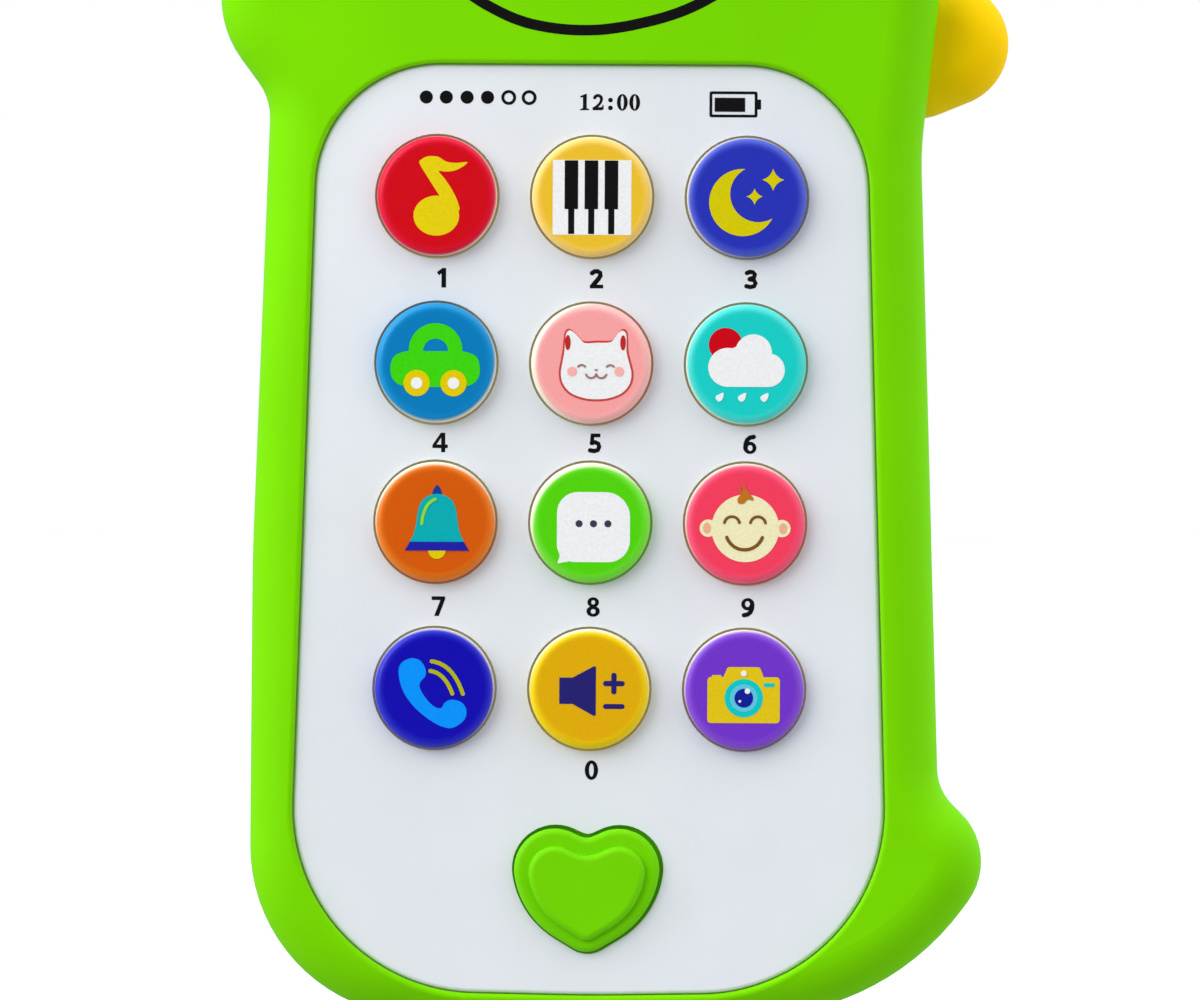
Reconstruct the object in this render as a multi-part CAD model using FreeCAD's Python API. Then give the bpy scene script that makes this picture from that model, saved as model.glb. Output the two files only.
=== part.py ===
import FreeCAD, Part
import math
import os

# Toy cell phone: a plastic keypad body held in a soft dinosaur-shaped sleeve. Millimetres.
#
# Every piece is drawn in the phone's face frame: X to the right, Y up the phone, Z from the rear
# towards the keys, with the origin under the middle of the keypad panel on the rear plane.
# save() stands each piece up: X stays, the keys face -Y, and the phone's length runs along +Z
# from the flat foot of the sleeve at z = 0.

V = FreeCAD.Vector
TINY = 1e-3

# Depths from the rear plane
SLEEVE_DEPTH = 25.3
REAR_LIP = 2.0
PART_LINE = 13.0
SHOULDER = 22.3
PANEL_INNER = 22.3
PANEL_FRONT = 24.5
CAP_FRONT = 26.2
BOARD_REAR = 17.0
BOARD_FRONT = 18.2
MAT_FRONT = 19.0
DOME_FRONT = 21.2
FLANGE_FRONT = 22.2

# Keypad panel
PANEL_TOP = 57.75
PANEL_BOTTOM = -57.75
PANEL_HALF_TOP = 34.1
PANEL_HALF_BOTTOM = 37.6
PANEL_TOP_ROUND = 15.6
PANEL_BOTTOM_ROUND = 23.0
PANEL_BOW = 0.7
PANEL_BOW_ROUND = 240.0
CORE_STEP = 2.0
WALL = 2.0
TONGUE = 0.8

# Soft sleeve: corners of its outline as (x, y, rounding), from the foot counter-clockwise
FOOT_Y = -62.8
FOOT_HALF = 14.0
SLEEVE_OUTLINE = [
    (FOOT_HALF, FOOT_Y, 40.0),
    (39.0, -58.4, 33.0),
    (51.95, -40.75, 8.5),
    (43.75, -32.7, 6.5),
    (41.2, 47.6, 40.0),
    (44.7, 78.0, 24.0),
    (33.0, 92.0, 24.0),
    (-2.0, 101.0, 60.0),
    (-34.0, 91.5, 24.0),
    (-49.2, 65.4, 13.2),
    (-40.35, 53.4, 7.2),
    (-42.3, -4.0, 200.0),
    (-42.45, -58.4, 21.4),
    (-FOOT_HALF, FOOT_Y, 40.0),
]
SLEEVE_FRONT_ROUND = 6.0
SLEEVE_REAR_ROUND = 4.5
SLEEVE_SLACK = 0.1
REAR_LIP_WIDTH = 4.0
LIP_GAP = 0.15
LIP_ROUND = 0.6

# Spikes along the back of the head: (x, y) of the root, heading in degrees, length to the sharp tip
SPIKES = {
    "spike_side": (41.8, 60.95, 0.0, 23.3),
    "spike_shoulder": (38.6, 84.6, 40.0, 22.4),
    "spike_top": (14.0, 96.2, 74.0, 21.6),
}
SPIKE_HALF_WIDTH = 9.55
SPIKE_INSET = 9.0
SPIKE_TIP_ROUND = 7.87
SPIKE_RIM_ROUND = 5.2
SPIKE_LOW = 7.0
SPIKE_HIGH = 18.0

# Eyes on the head
EYE_X = 14.5
EYE_Y = 79.5
EYE_RADIUS = 6.8
PUPIL_RADIUS = 4.0
EYE_PROUD = 1.0
PUPIL_SINK = 0.6

# Keys
KEY_COLUMNS = (-19.35, 0.0, 19.35)
KEY_ROWS = (41.27, 20.44, 0.56, -20.22)
KEY_NAMES = (
    ("music", "piano", "moon"),
    ("car", "cat", "weather"),
    ("bell", "chat", "baby"),
    ("call", "volume", "camera"),
)
CAP_RADIUS = 7.5
HOLE_RADIUS = 7.8
FLANGE_RADIUS = 8.8
CAP_ROUND = 0.9
CAP_WALL = 1.6
PLUNGER_RADIUS = 3.2
HEART_X = -0.2
HEART_Y = -45.4
HEART_GAP = 0.38
HEART_HOLE_SHIFT = (0.13, 0.11)
HEART_FLANGE = 1.5
HEART_STEP = 1.8
HEART_STEP_DROP = 0.4
HEART_LEDGE = 25.6
HEART_TOP = 26.5
HEART_POINT = (0.0, -8.22, 3.17)
HEART_SIDE = (8.16, -3.31, 10.9)
HEART_LOBE = (10.63, 11.23, 5.1)
HEART_NOTCH = (0.0, 6.4, 1.9)

# Rubber mat under the keys
DOME_BASE_RADIUS = 5.6
DOME_TOP_RADIUS = 4.2
DOME_SKIN = 0.6
PILL_RADIUS = 2.2
PILL_HEIGHT = 0.5

# Circuit board, with its four corners cut off
BOARD_OUTLINE = [
    (17.0, -54.0),
    (27.0, -42.0),
    (27.0, 42.0),
    (22.0, 50.0),
    (-22.0, 50.0),
    (-27.0, 42.0),
    (-27.0, -42.0),
    (-17.0, -54.0),
]
BOARD_SCREW_X = 9.7
BOARD_SCREW_YS = (30.9, -33.0)
BOARD_POST_RADIUS = 2.3
MAT_HOLE_RADIUS = 2.8

# Screws
CASE_SCREWS = ((31.0, -40.0), (32.4, 10.5), (29.5, 49.0))
CASE_HEAD_REAR = 4.0
CASE_HEAD_FRONT = 5.8
CASE_SHANK_END = 19.5
CASE_BOSS_RADIUS = 3.2
SCREW_RADIUS = 1.2
SCREW_HOLE_RADIUS = 1.3
SCREW_HEAD_RADIUS = 2.2
SMALL_SCREW_RADIUS = 0.9
SMALL_SCREW_HOLE = 1.0
SMALL_HEAD_RADIUS = 1.9
CROSS_WIDTH = 0.5

# Battery compartment for three AAA cells lying across the phone
CELL_RADIUS = 5.25
CELL_LENGTH = 44.5
CELL_DEPTH = 9.15
CELL_PITCH = 10.9
CELLS_Y = -30.0
BAY_HALF_X = 25.5
BAY_HALF_Y = 16.7
BAY_WALL = 1.3
BAY_CEILING = 14.6
DOOR_HALF_X = 26.6
DOOR_HALF_Y = 20.9
DOOR_ROUND = 3.5
DOOR_THICKNESS = 1.6
DOOR_GAP = 0.2
DOOR_LEDGE_FRONT = 5.2
DOOR_SCREW_OFFSET = 18.8
DOOR_BOSS_FRONT = 10.0
SPRING_WIRE = 0.35
SPRING_RADIUS = 2.6
SPRING_TURNS = 2.5
PLATE = 0.4

# Speaker
SPEAKER_Y = 36.0
SPEAKER_RADIUS = 14.0
SPEAKER_REAR = 4.5
SPEAKER_SCREW_RING = 15.6
GRILLE_HOLE_RADIUS = 0.9
GRILLE_PITCH = 3.4

# Slide switch
SWITCH_Y = 8.5
SWITCH_HALF_X = 6.5
SWITCH_HALF_Y = 3.4
SWITCH_TRAVEL = 2.0
KNOB_HALF_X = 2.4
KNOB_HALF_Y = 1.5
KNOB_REAR = 0.8
SWITCH_EAR_X = 8.6


# ---------------------------------------------------------------- drawing helpers

def rounded_outline(corners):
    """Closed wire through (x, y, rounding) corners, each corner rounded by an arc."""
    arcs = []
    for index, (x, y, rounding) in enumerate(corners):
        here = V(x, y, 0)
        before = V(corners[index - 1][0], corners[index - 1][1], 0)
        after = V(corners[(index + 1) % len(corners)][0], corners[(index + 1) % len(corners)][1], 0)
        back = (before - here).normalize()
        ahead = (after - here).normalize()
        half_angle = back.getAngle(ahead) / 2
        reach = rounding / math.tan(half_angle)
        inward = (back + ahead).normalize()
        middle = here + inward * (rounding / math.sin(half_angle) - rounding)
        arcs.append((here + back * reach, middle, here + ahead * reach))
    edges = []
    for index, (start, middle, end) in enumerate(arcs):
        edges.append(Part.Arc(start, middle, end).toShape())
        following = arcs[(index + 1) % len(arcs)][0]
        if end.distanceToPoint(following) > TINY:
            edges.append(Part.makeLine(end, following))
    return Part.Wire(edges)


def rounded_rectangle(half_x, half_y, rounding, centre_y=0.0):
    """Rounded rectangle centred at (0, centre_y)."""
    corners = []
    for side_x, side_y in ((1, -1), (1, 1), (-1, 1), (-1, -1)):
        corners.append((side_x * half_x, centre_y + side_y * half_y, rounding))
    return rounded_outline(corners)


def grown(wire, distance):
    """Outline moved outwards by a distance, or inwards when it is negative."""
    return wire.makeOffset2D(distance)


def slab(wire, low, high):
    """Plate with the given outline, from depth low to depth high."""
    plate = Part.Face(wire).extrude(V(0, 0, high - low))
    plate.translate(V(0, 0, low))
    return plate


def disc(x, y, radius, low, high):
    """Round bar at (x, y), from depth low to depth high."""
    return Part.makeCylinder(radius, high - low, V(x, y, low))


def block(x_low, x_high, y_low, y_high, low, high):
    """Box between two corners, from depth low to depth high."""
    return Part.makeBox(x_high - x_low, y_high - y_low, high - low, V(x_low, y_low, low))


def cone(x, y, radius_low, radius_high, low, high):
    """Cone frustum at (x, y), from depth low to depth high."""
    return Part.makeCone(radius_low, radius_high, high - low, V(x, y, low))


def round_rim(shape, radius, depth):
    """Fillet every edge that lies flat at one depth."""
    rim = []
    for edge in shape.Edges:
        box = edge.BoundBox
        if abs(box.ZMin - depth) < TINY and abs(box.ZMax - depth) < TINY:
            rim.append(edge)
    return shape.makeFillet(radius, rim)


def union(shapes):
    """One solid from touching shapes."""
    return shapes[0].fuse(shapes[1:]).removeSplitter()


def both_sides(points):
    """Each (x, y) point and its mirror image across the phone's centre line."""
    return [(side * x, y) for x, y in points for side in (1, -1)]


def screw(x, y, low, head_front, end, radius, head_radius):
    """Pan-head screw with a cross recess; its head starts at depth low and its shank points forwards."""
    head = round_rim(disc(x, y, head_radius, low, head_front), 0.3, low)
    shank = disc(x, y, radius, head_front, end - radius)
    point = cone(x, y, radius, radius * 0.35, end - radius, end)
    body = union([head, shank, point])
    reach = head_radius * 0.62
    bottom = low + (head_front - low) * 0.5
    for half_x, half_y in ((reach, CROSS_WIDTH / 2), (CROSS_WIDTH / 2, reach)):
        body = body.cut(block(x - half_x, x + half_x, y - half_y, y + half_y, low - 1, bottom))
    return body


def lead(points, wire_radius, bend):
    """Insulated wire along a path of straight runs joined by bends."""
    route = [V(*point) for point in points]
    edges = []
    start = route[0]
    for before, corner, after in zip(route, route[1:], route[2:]):
        back = (before - corner).normalize()
        ahead = (after - corner).normalize()
        half_angle = back.getAngle(ahead) / 2
        reach = bend / math.tan(half_angle)
        inward = (back + ahead).normalize()
        middle = corner + inward * (bend / math.sin(half_angle) - bend)
        edges.append(Part.makeLine(start, corner + back * reach))
        edges.append(Part.Arc(corner + back * reach, middle, corner + ahead * reach).toShape())
        start = corner + ahead * reach
    edges.append(Part.makeLine(start, route[-1]))
    path = Part.Wire(edges)
    heading = (route[1] - route[0]).normalize()
    profile = Part.Wire([Part.makeCircle(wire_radius, route[0], heading)])
    return path.makePipeShell([profile], True, False)


# ---------------------------------------------------------------- shared outlines

def panel_outline():
    """Outline of the keypad panel: wider towards the bottom, with a slightly bowed bottom edge."""
    return rounded_outline([
        (PANEL_HALF_BOTTOM, PANEL_BOTTOM, PANEL_BOTTOM_ROUND),
        (PANEL_HALF_TOP, PANEL_TOP, PANEL_TOP_ROUND),
        (-PANEL_HALF_TOP, PANEL_TOP, PANEL_TOP_ROUND),
        (-PANEL_HALF_BOTTOM, PANEL_BOTTOM, PANEL_BOTTOM_ROUND),
        (0.0, PANEL_BOTTOM - PANEL_BOW, PANEL_BOW_ROUND),
    ])


def core_outline():
    """Outline of the plastic body inside the sleeve."""
    return grown(panel_outline(), CORE_STEP)


def heart_outline():
    """Soft heart centred on the heart key."""
    left = [(-x, y, rounding) for x, y, rounding in (HEART_LOBE, HEART_SIDE)]
    corners = [HEART_POINT, HEART_SIDE, HEART_LOBE, HEART_NOTCH] + left
    return rounded_outline([(x + HEART_X, y + HEART_Y, rounding) for x, y, rounding in corners])


def heart_hole():
    """Outline of the heart key's hole; the cap sits a little low and left in it."""
    wire = grown(heart_outline(), HEART_GAP)
    wire.translate(V(HEART_HOLE_SHIFT[0], HEART_HOLE_SHIFT[1], 0))
    return wire


def key_centres():
    """Name and centre of each round key."""
    centres = {}
    for y, names in zip(KEY_ROWS, KEY_NAMES):
        for x, name in zip(KEY_COLUMNS, names):
            centres[name] = (x, y)
    return centres


# ---------------------------------------------------------------- sleeve, spikes and eyes

def sleeve_block():
    """The sleeve's outer form, before it is hollowed for the phone."""
    body = slab(rounded_outline(SLEEVE_OUTLINE), 0, SLEEVE_DEPTH)
    body = round_rim(body, SLEEVE_FRONT_ROUND, SLEEVE_DEPTH)
    return round_rim(body, SLEEVE_REAR_ROUND, 0)


def soften_front_lip(body):
    """Round the sleeve's front edge around the panel."""
    rim = []
    for face in body.Faces:
        box = face.BoundBox
        if abs(box.ZMin - SHOULDER) < TINY and box.ZMax > SHOULDER + 1:
            rim += [edge for edge in face.Edges if edge.BoundBox.ZMin > SHOULDER + 1]
    return body.makeFillet(LIP_ROUND, rim)


def make_sleeve():
    body = sleeve_block()
    core = core_outline()
    body = body.cut(slab(grown(core, SLEEVE_SLACK), REAR_LIP, SHOULDER))
    body = body.cut(slab(grown(core, -REAR_LIP_WIDTH), -1, REAR_LIP + 1))
    body = body.cut(slab(grown(panel_outline(), LIP_GAP), SHOULDER - 1, SLEEVE_DEPTH + 1))
    return soften_front_lip(body)


def make_spike(x, y, heading, length):
    """Puffy spike with a blunt tip, trimmed to the side of the sleeve that it is bonded to."""
    along = V(math.cos(math.radians(heading)), math.sin(math.radians(heading)), 0)
    across = V(-along.y, along.x, 0)
    root = V(x, y, 0) - along * SPIKE_INSET
    half_root = SPIKE_HALF_WIDTH * (length + SPIKE_INSET) / length
    tip = V(x, y, 0) + along * length
    corners = [(tip.x, tip.y, SPIKE_TIP_ROUND)]
    for corner in (root + across * half_root, root - across * half_root):
        corners.append((corner.x, corner.y, SPIKE_TIP_ROUND))
    form = slab(rounded_outline(corners), SPIKE_LOW, SPIKE_HIGH)
    form = round_rim(form, SPIKE_RIM_ROUND, SPIKE_HIGH)
    form = round_rim(form, SPIKE_RIM_ROUND, SPIKE_LOW)
    return form.cut(sleeve_block())


def make_eye_white(side):
    body = disc(side * EYE_X, EYE_Y, EYE_RADIUS, SLEEVE_DEPTH, SLEEVE_DEPTH + EYE_PROUD)
    body = round_rim(body, 0.8, SLEEVE_DEPTH + EYE_PROUD)
    pocket_floor = SLEEVE_DEPTH + EYE_PROUD - PUPIL_SINK
    return body.cut(disc(side * EYE_X, EYE_Y, PUPIL_RADIUS, pocket_floor, SLEEVE_DEPTH + 5))


def make_pupil(side):
    low = SLEEVE_DEPTH + EYE_PROUD - PUPIL_SINK
    body = disc(side * EYE_X, EYE_Y, PUPIL_RADIUS, low, SLEEVE_DEPTH + EYE_PROUD + 0.2)
    return round_rim(body, 0.4, SLEEVE_DEPTH + EYE_PROUD + 0.2)


# ---------------------------------------------------------------- front shell and keys

def make_front_shell():
    panel = panel_outline()
    core = core_outline()
    plateau = round_rim(slab(panel, SHOULDER - 1, PANEL_FRONT), 0.5, PANEL_FRONT)
    body = union([slab(core, PART_LINE, SHOULDER), plateau])
    body = body.cut(slab(grown(core, -WALL), PART_LINE - 1, SHOULDER - 1.8))
    body = body.cut(slab(grown(panel, -WALL), PART_LINE - 1, PANEL_INNER))
    bosses = []
    for x, y in both_sides(CASE_SCREWS):
        bosses.append(disc(x, y, CASE_BOSS_RADIUS, PART_LINE + 0.1, PANEL_INNER))
    for y in BOARD_SCREW_YS:
        for x in (-BOARD_SCREW_X, BOARD_SCREW_X):
            bosses.append(disc(x, y, BOARD_POST_RADIUS, BOARD_FRONT, PANEL_INNER))
    groove = slab(grown(core, -WALL + TONGUE + 0.1), PART_LINE - 1, PART_LINE + 1.1)
    groove = groove.cut(slab(grown(core, -WALL - 0.1), PART_LINE - 2, PART_LINE + 2))
    body = union([body] + bosses).cut(groove)
    for x, y in both_sides(CASE_SCREWS):
        body = body.cut(disc(x, y, SCREW_HOLE_RADIUS, PART_LINE - 1, CASE_SHANK_END + 0.5))
    for y in BOARD_SCREW_YS:
        for x in (-BOARD_SCREW_X, BOARD_SCREW_X):
            body = body.cut(disc(x, y, SMALL_SCREW_HOLE, BOARD_FRONT - 1, PANEL_INNER - 0.3))
    for x, y in key_centres().values():
        body = body.cut(disc(x, y, HOLE_RADIUS, SHOULDER - 2, PANEL_FRONT + 1))
    return body.cut(slab(heart_hole(), SHOULDER - 2, PANEL_FRONT + 1))


def make_key(x, y):
    """Round key cap with a retaining flange, hollow underneath around a central plunger."""
    cap = round_rim(disc(x, y, CAP_RADIUS, DOME_FRONT, CAP_FRONT), CAP_ROUND, CAP_FRONT)
    body = union([cap, disc(x, y, FLANGE_RADIUS, DOME_FRONT, FLANGE_FRONT)])
    hollow = disc(x, y, CAP_RADIUS - CAP_WALL, DOME_FRONT - 1, CAP_FRONT - CAP_WALL)
    hollow = hollow.cut(disc(x, y, PLUNGER_RADIUS, DOME_FRONT - 1, CAP_FRONT))
    return body.cut(hollow)


def make_heart_key():
    """Heart key: a stepped heart with a retaining flange and a central plunger."""
    outline = heart_outline()
    base = round_rim(slab(outline, DOME_FRONT, HEART_LEDGE), 0.8, HEART_LEDGE)
    step = grown(outline, -HEART_STEP)
    step.translate(V(0, -HEART_STEP_DROP, 0))
    top = round_rim(slab(step, HEART_LEDGE - 1, HEART_TOP), 0.8, HEART_TOP)
    flange = slab(grown(outline, HEART_FLANGE), DOME_FRONT, FLANGE_FRONT)
    body = union([base, top, flange])
    hollow = slab(grown(outline, -CAP_WALL), DOME_FRONT - 1, HEART_LEDGE - CAP_WALL)
    hollow = hollow.cut(disc(HEART_X, HEART_Y, PLUNGER_RADIUS, DOME_FRONT - 1, CAP_FRONT))
    return body.cut(hollow)


# ---------------------------------------------------------------- keypad mat and board

def board_outline():
    points = [V(x, y, 0) for x, y in BOARD_OUTLINE]
    return Part.makePolygon(points + points[:1])


def dome_centres():
    return list(key_centres().values()) + [(HEART_X, HEART_Y)]


def make_keypad_mat():
    """Silicone mat with one hollow dome under each key."""
    body = slab(board_outline(), BOARD_FRONT, MAT_FRONT)
    shoulder = MAT_FRONT + 1.2
    domes = []
    for x, y in dome_centres():
        domes.append(cone(x, y, DOME_BASE_RADIUS, DOME_TOP_RADIUS, MAT_FRONT, shoulder))
        domes.append(disc(x, y, DOME_TOP_RADIUS, shoulder, DOME_FRONT))
    body = union([body] + domes)
    for x, y in dome_centres():
        inner_base = DOME_BASE_RADIUS - DOME_SKIN
        inner_top = DOME_TOP_RADIUS - DOME_SKIN
        body = body.cut(cone(x, y, inner_base, inner_top, BOARD_FRONT, shoulder - 0.2))
    for y in BOARD_SCREW_YS:
        for x in (-BOARD_SCREW_X, BOARD_SCREW_X):
            body = body.cut(disc(x, y, MAT_HOLE_RADIUS, BOARD_FRONT - 1, MAT_FRONT + 1))
    return body


def make_carbon_pills():
    roof = MAT_FRONT + 1.0
    return [disc(x, y, PILL_RADIUS, roof - PILL_HEIGHT, roof) for x, y in dome_centres()]


def make_circuit_board():
    body = slab(board_outline(), BOARD_REAR, BOARD_FRONT)
    for y in BOARD_SCREW_YS:
        for x in (-BOARD_SCREW_X, BOARD_SCREW_X):
            body = body.cut(disc(x, y, SMALL_SCREW_HOLE, BOARD_REAR - 1, BOARD_FRONT + 1))
    return body


def make_board_screws():
    screws = []
    for y in BOARD_SCREW_YS:
        for x in (-BOARD_SCREW_X, BOARD_SCREW_X):
            screws.append(screw(x, y, BOARD_REAR - 1.0, BOARD_REAR, BOARD_REAR + 4.8,
                                SMALL_SCREW_RADIUS, SMALL_HEAD_RADIUS))
    return screws


def make_sound_chip():
    """Epoxy blob over the sound chip, on the rear of the board."""
    blob = Part.makeSphere(9.0, V(13.0, -2.0, BOARD_REAR + 7.2))
    return blob.common(disc(13.0, -2.0, 8.0, BOARD_REAR - 3, BOARD_REAR))


def make_capacitor():
    can = disc(-15.0, 4.0, 2.5, BOARD_REAR - 7.0, BOARD_REAR)
    return round_rim(can, 0.4, BOARD_REAR - 7.0)


# ---------------------------------------------------------------- rear shell

def bay_shell():
    """Walls and ceiling of the battery compartment, and the ledge that the door rests on."""
    walls = slab(rounded_rectangle(BAY_HALF_X + BAY_WALL, BAY_HALF_Y + BAY_WALL, 1.5, CELLS_Y),
                 REAR_LIP + WALL - 0.5, BAY_CEILING + BAY_WALL)
    ledge = slab(rounded_rectangle(DOOR_HALF_X + 1.4, DOOR_HALF_Y + 1.4, DOOR_ROUND, CELLS_Y),
                 REAR_LIP + WALL - 0.5, DOOR_LEDGE_FRONT)
    bosses = []
    for side in (-1, 1):
        bosses.append(disc(0, CELLS_Y + side * DOOR_SCREW_OFFSET, 2.4, REAR_LIP + 1, DOOR_BOSS_FRONT))
    return [walls, ledge] + bosses


def cut_bay(body):
    """Hollow the battery compartment and sink the door's recess."""
    recess = rounded_rectangle(DOOR_HALF_X + DOOR_GAP, DOOR_HALF_Y + DOOR_GAP, DOOR_ROUND, CELLS_Y)
    body = body.cut(slab(recess, REAR_LIP - 1, REAR_LIP + DOOR_THICKNESS + 0.1))
    body = body.cut(block(-BAY_HALF_X, BAY_HALF_X, CELLS_Y - BAY_HALF_Y, CELLS_Y + BAY_HALF_Y,
                          REAR_LIP - 1, BAY_CEILING))
    for side in (-1, 1):
        y = CELLS_Y + side * DOOR_SCREW_OFFSET
        body = body.cut(disc(0, y, SCREW_HOLE_RADIUS, REAR_LIP, DOOR_BOSS_FRONT - 0.8))
    for x, y in ((-BAY_HALF_X + 0.8, cell_y(0)), (BAY_HALF_X - 0.8, cell_y(2))):
        body = body.cut(disc(x, y, 0.6, BAY_CEILING - 1, BAY_CEILING + BAY_WALL + 1))
    return body


def cut_grille(body):
    """Round pattern of sound holes behind the speaker."""
    rows = range(-3, 4)
    for row in rows:
        y = SPEAKER_Y + row * GRILLE_PITCH * math.sqrt(3) / 2
        for column in rows:
            x = (column + 0.5 * (row % 2)) * GRILLE_PITCH
            if math.hypot(x, y - SPEAKER_Y) < SPEAKER_RADIUS - 4:
                body = body.cut(disc(x, y, GRILLE_HOLE_RADIUS, REAR_LIP - 1, REAR_LIP + WALL + 1))
    return body


def speaker_screw_points():
    points = []
    for angle in (90, 210, 330):
        x = SPEAKER_SCREW_RING * math.cos(math.radians(angle))
        points.append((x, SPEAKER_Y + SPEAKER_SCREW_RING * math.sin(math.radians(angle))))
    return points


def make_rear_shell():
    core = core_outline()
    body = round_rim(slab(core, REAR_LIP, PART_LINE), 0.6, REAR_LIP)
    body = body.cut(slab(grown(core, -WALL), REAR_LIP + WALL, PART_LINE + 1))
    tongue = slab(grown(core, -WALL + TONGUE), PART_LINE - 0.5, PART_LINE + 1.0)
    tongue = tongue.cut(slab(grown(core, -WALL), PART_LINE - 1, PART_LINE + 2))
    inside = REAR_LIP + WALL - 0.5
    bosses = [disc(x, y, CASE_BOSS_RADIUS, inside, PART_LINE) for x, y in both_sides(CASE_SCREWS)]
    posts = [disc(x, y, 1.9, inside, SPEAKER_REAR) for x, y in speaker_screw_points()]
    ears = [disc(side * SWITCH_EAR_X, SWITCH_Y, 1.9, inside, REAR_LIP + WALL + 0.5) for side in (-1, 1)]
    body = union([body, tongue] + bosses + posts + ears + bay_shell())
    body = cut_grille(cut_bay(body))
    for x, y in both_sides(CASE_SCREWS):
        body = body.cut(disc(x, y, SCREW_HEAD_RADIUS + 0.2, REAR_LIP - 1, CASE_HEAD_FRONT))
        body = body.cut(disc(x, y, SCREW_HOLE_RADIUS, REAR_LIP, PART_LINE + 1))
    for x, y in speaker_screw_points() + [(SWITCH_EAR_X, SWITCH_Y), (-SWITCH_EAR_X, SWITCH_Y)]:
        body = body.cut(disc(x, y, SMALL_SCREW_HOLE, REAR_LIP + 0.8, SPEAKER_REAR + 1))
    slot_x = KNOB_HALF_X + SWITCH_TRAVEL + 0.3
    slot_y = KNOB_HALF_Y + 0.3
    return body.cut(block(-slot_x, slot_x, SWITCH_Y - slot_y, SWITCH_Y + slot_y, REAR_LIP - 1, REAR_LIP + 3))


def make_case_screws():
    return [screw(x, y, CASE_HEAD_REAR, CASE_HEAD_FRONT, CASE_SHANK_END, SCREW_RADIUS, SCREW_HEAD_RADIUS)
            for x, y in both_sides(CASE_SCREWS)]


# ---------------------------------------------------------------- batteries

def cell_y(number):
    """Height of cell 0, 1 or 2, from the top of the compartment down."""
    return CELLS_Y + (1 - number) * CELL_PITCH


def make_battery_door():
    low, high = REAR_LIP, REAR_LIP + DOOR_THICKNESS
    body = slab(rounded_rectangle(DOOR_HALF_X, DOOR_HALF_Y, DOOR_ROUND, CELLS_Y), low, high)
    body = round_rim(body, 0.3, low)
    for step in range(5):
        y = CELLS_Y + (step - 2) * 3.0
        body = body.cut(block(-9, 9, y - 0.6, y + 0.6, low - 1, low + 0.5))
    for side in (-1, 1):
        y = CELLS_Y + side * DOOR_SCREW_OFFSET
        body = body.cut(disc(0, y, SMALL_HEAD_RADIUS + 0.1, low - 1, low + 1.0))
        body = body.cut(disc(0, y, SCREW_RADIUS + 0.05, low, high + 1))
    return body


def make_battery_door_screws():
    return [screw(0, CELLS_Y + side * DOOR_SCREW_OFFSET, REAR_LIP + 0.1, REAR_LIP + 1.0, 8.8,
                  SCREW_RADIUS, SMALL_HEAD_RADIUS) for side in (-1, 1)]


def make_battery_cell(number):
    """AAA cell lying across the phone; neighbouring cells point opposite ways."""
    facing = 1 if number % 2 else -1
    start = V(-facing * CELL_LENGTH / 2, cell_y(number), CELL_DEPTH)
    axis = V(facing, 0, 0)
    can = Part.makeCylinder(CELL_RADIUS, CELL_LENGTH - 1.0, start, axis)
    can = can.makeFillet(0.5, [edge for edge in can.Edges if edge.Closed and edge.Length > 30])
    nub = Part.makeCylinder(1.9, 1.5, start + axis * (CELL_LENGTH - 1.5), axis)
    return union([can, nub])


def make_battery_springs():
    """Coil spring behind the flat end of each cell."""
    springs = []
    for number in range(3):
        facing = 1 if number % 2 else -1
        gap = BAY_HALF_X - PLATE - CELL_LENGTH / 2 - 2 * SPRING_WIRE - 0.1
        helix = Part.makeHelix(gap / SPRING_TURNS, gap, SPRING_RADIUS)
        profile = Part.Wire([Part.makeCircle(SPRING_WIRE, V(SPRING_RADIUS, 0, 0), V(0, 1, 0))])
        coil = Part.Wire(helix).makePipeShell([profile], True, True)
        coil.rotate(V(0, 0, 0), V(0, 1, 0), 90 * facing)
        end = BAY_HALF_X - PLATE - SPRING_WIRE - 0.05
        coil.translate(V(-facing * end, cell_y(number), CELL_DEPTH))
        springs.append(coil)
    return springs


def make_battery_contact_plates():
    """Sprung steel plates at both ends of the compartment: two single ones and two that bridge cells."""
    plates = []
    for side, numbers in ((-1, (0,)), (-1, (1, 2)), (1, (0, 1)), (1, (2,))):
        outer = side * BAY_HALF_X
        inner = side * (BAY_HALF_X - PLATE)
        y_low = cell_y(numbers[-1]) - 3.9
        y_high = cell_y(numbers[0]) + 3.9
        plates.append(block(min(outer, inner), max(outer, inner), y_low, y_high, 5.4, 13.4))
    return plates


# ---------------------------------------------------------------- speaker and switch

def make_speaker_gasket():
    ring = disc(0, SPEAKER_Y, SPEAKER_RADIUS - 0.5, REAR_LIP + WALL, SPEAKER_REAR)
    return ring.cut(disc(0, SPEAKER_Y, SPEAKER_RADIUS - 2.0, REAR_LIP, SPEAKER_REAR + 1))


def make_speaker_frame():
    """Pressed steel basket with a flat rim and three ears."""
    low = SPEAKER_REAR
    rim = disc(0, SPEAKER_Y, SPEAKER_RADIUS, low, low + 0.8)
    cup = cone(0, SPEAKER_Y, SPEAKER_RADIUS - 1.2, 9.0, low + 0.5, low + 4.2)
    ears = [disc(x, y, 1.9, low, low + 0.8) for x, y in speaker_screw_points()]
    body = union([rim, cup] + ears)
    body = body.cut(cone(0, SPEAKER_Y, SPEAKER_RADIUS - 1.8, 8.4, low, low + 3.6))
    for x, y in speaker_screw_points():
        body = body.cut(disc(x, y, SMALL_SCREW_HOLE, low - 1, low + 2))
    return body


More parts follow.
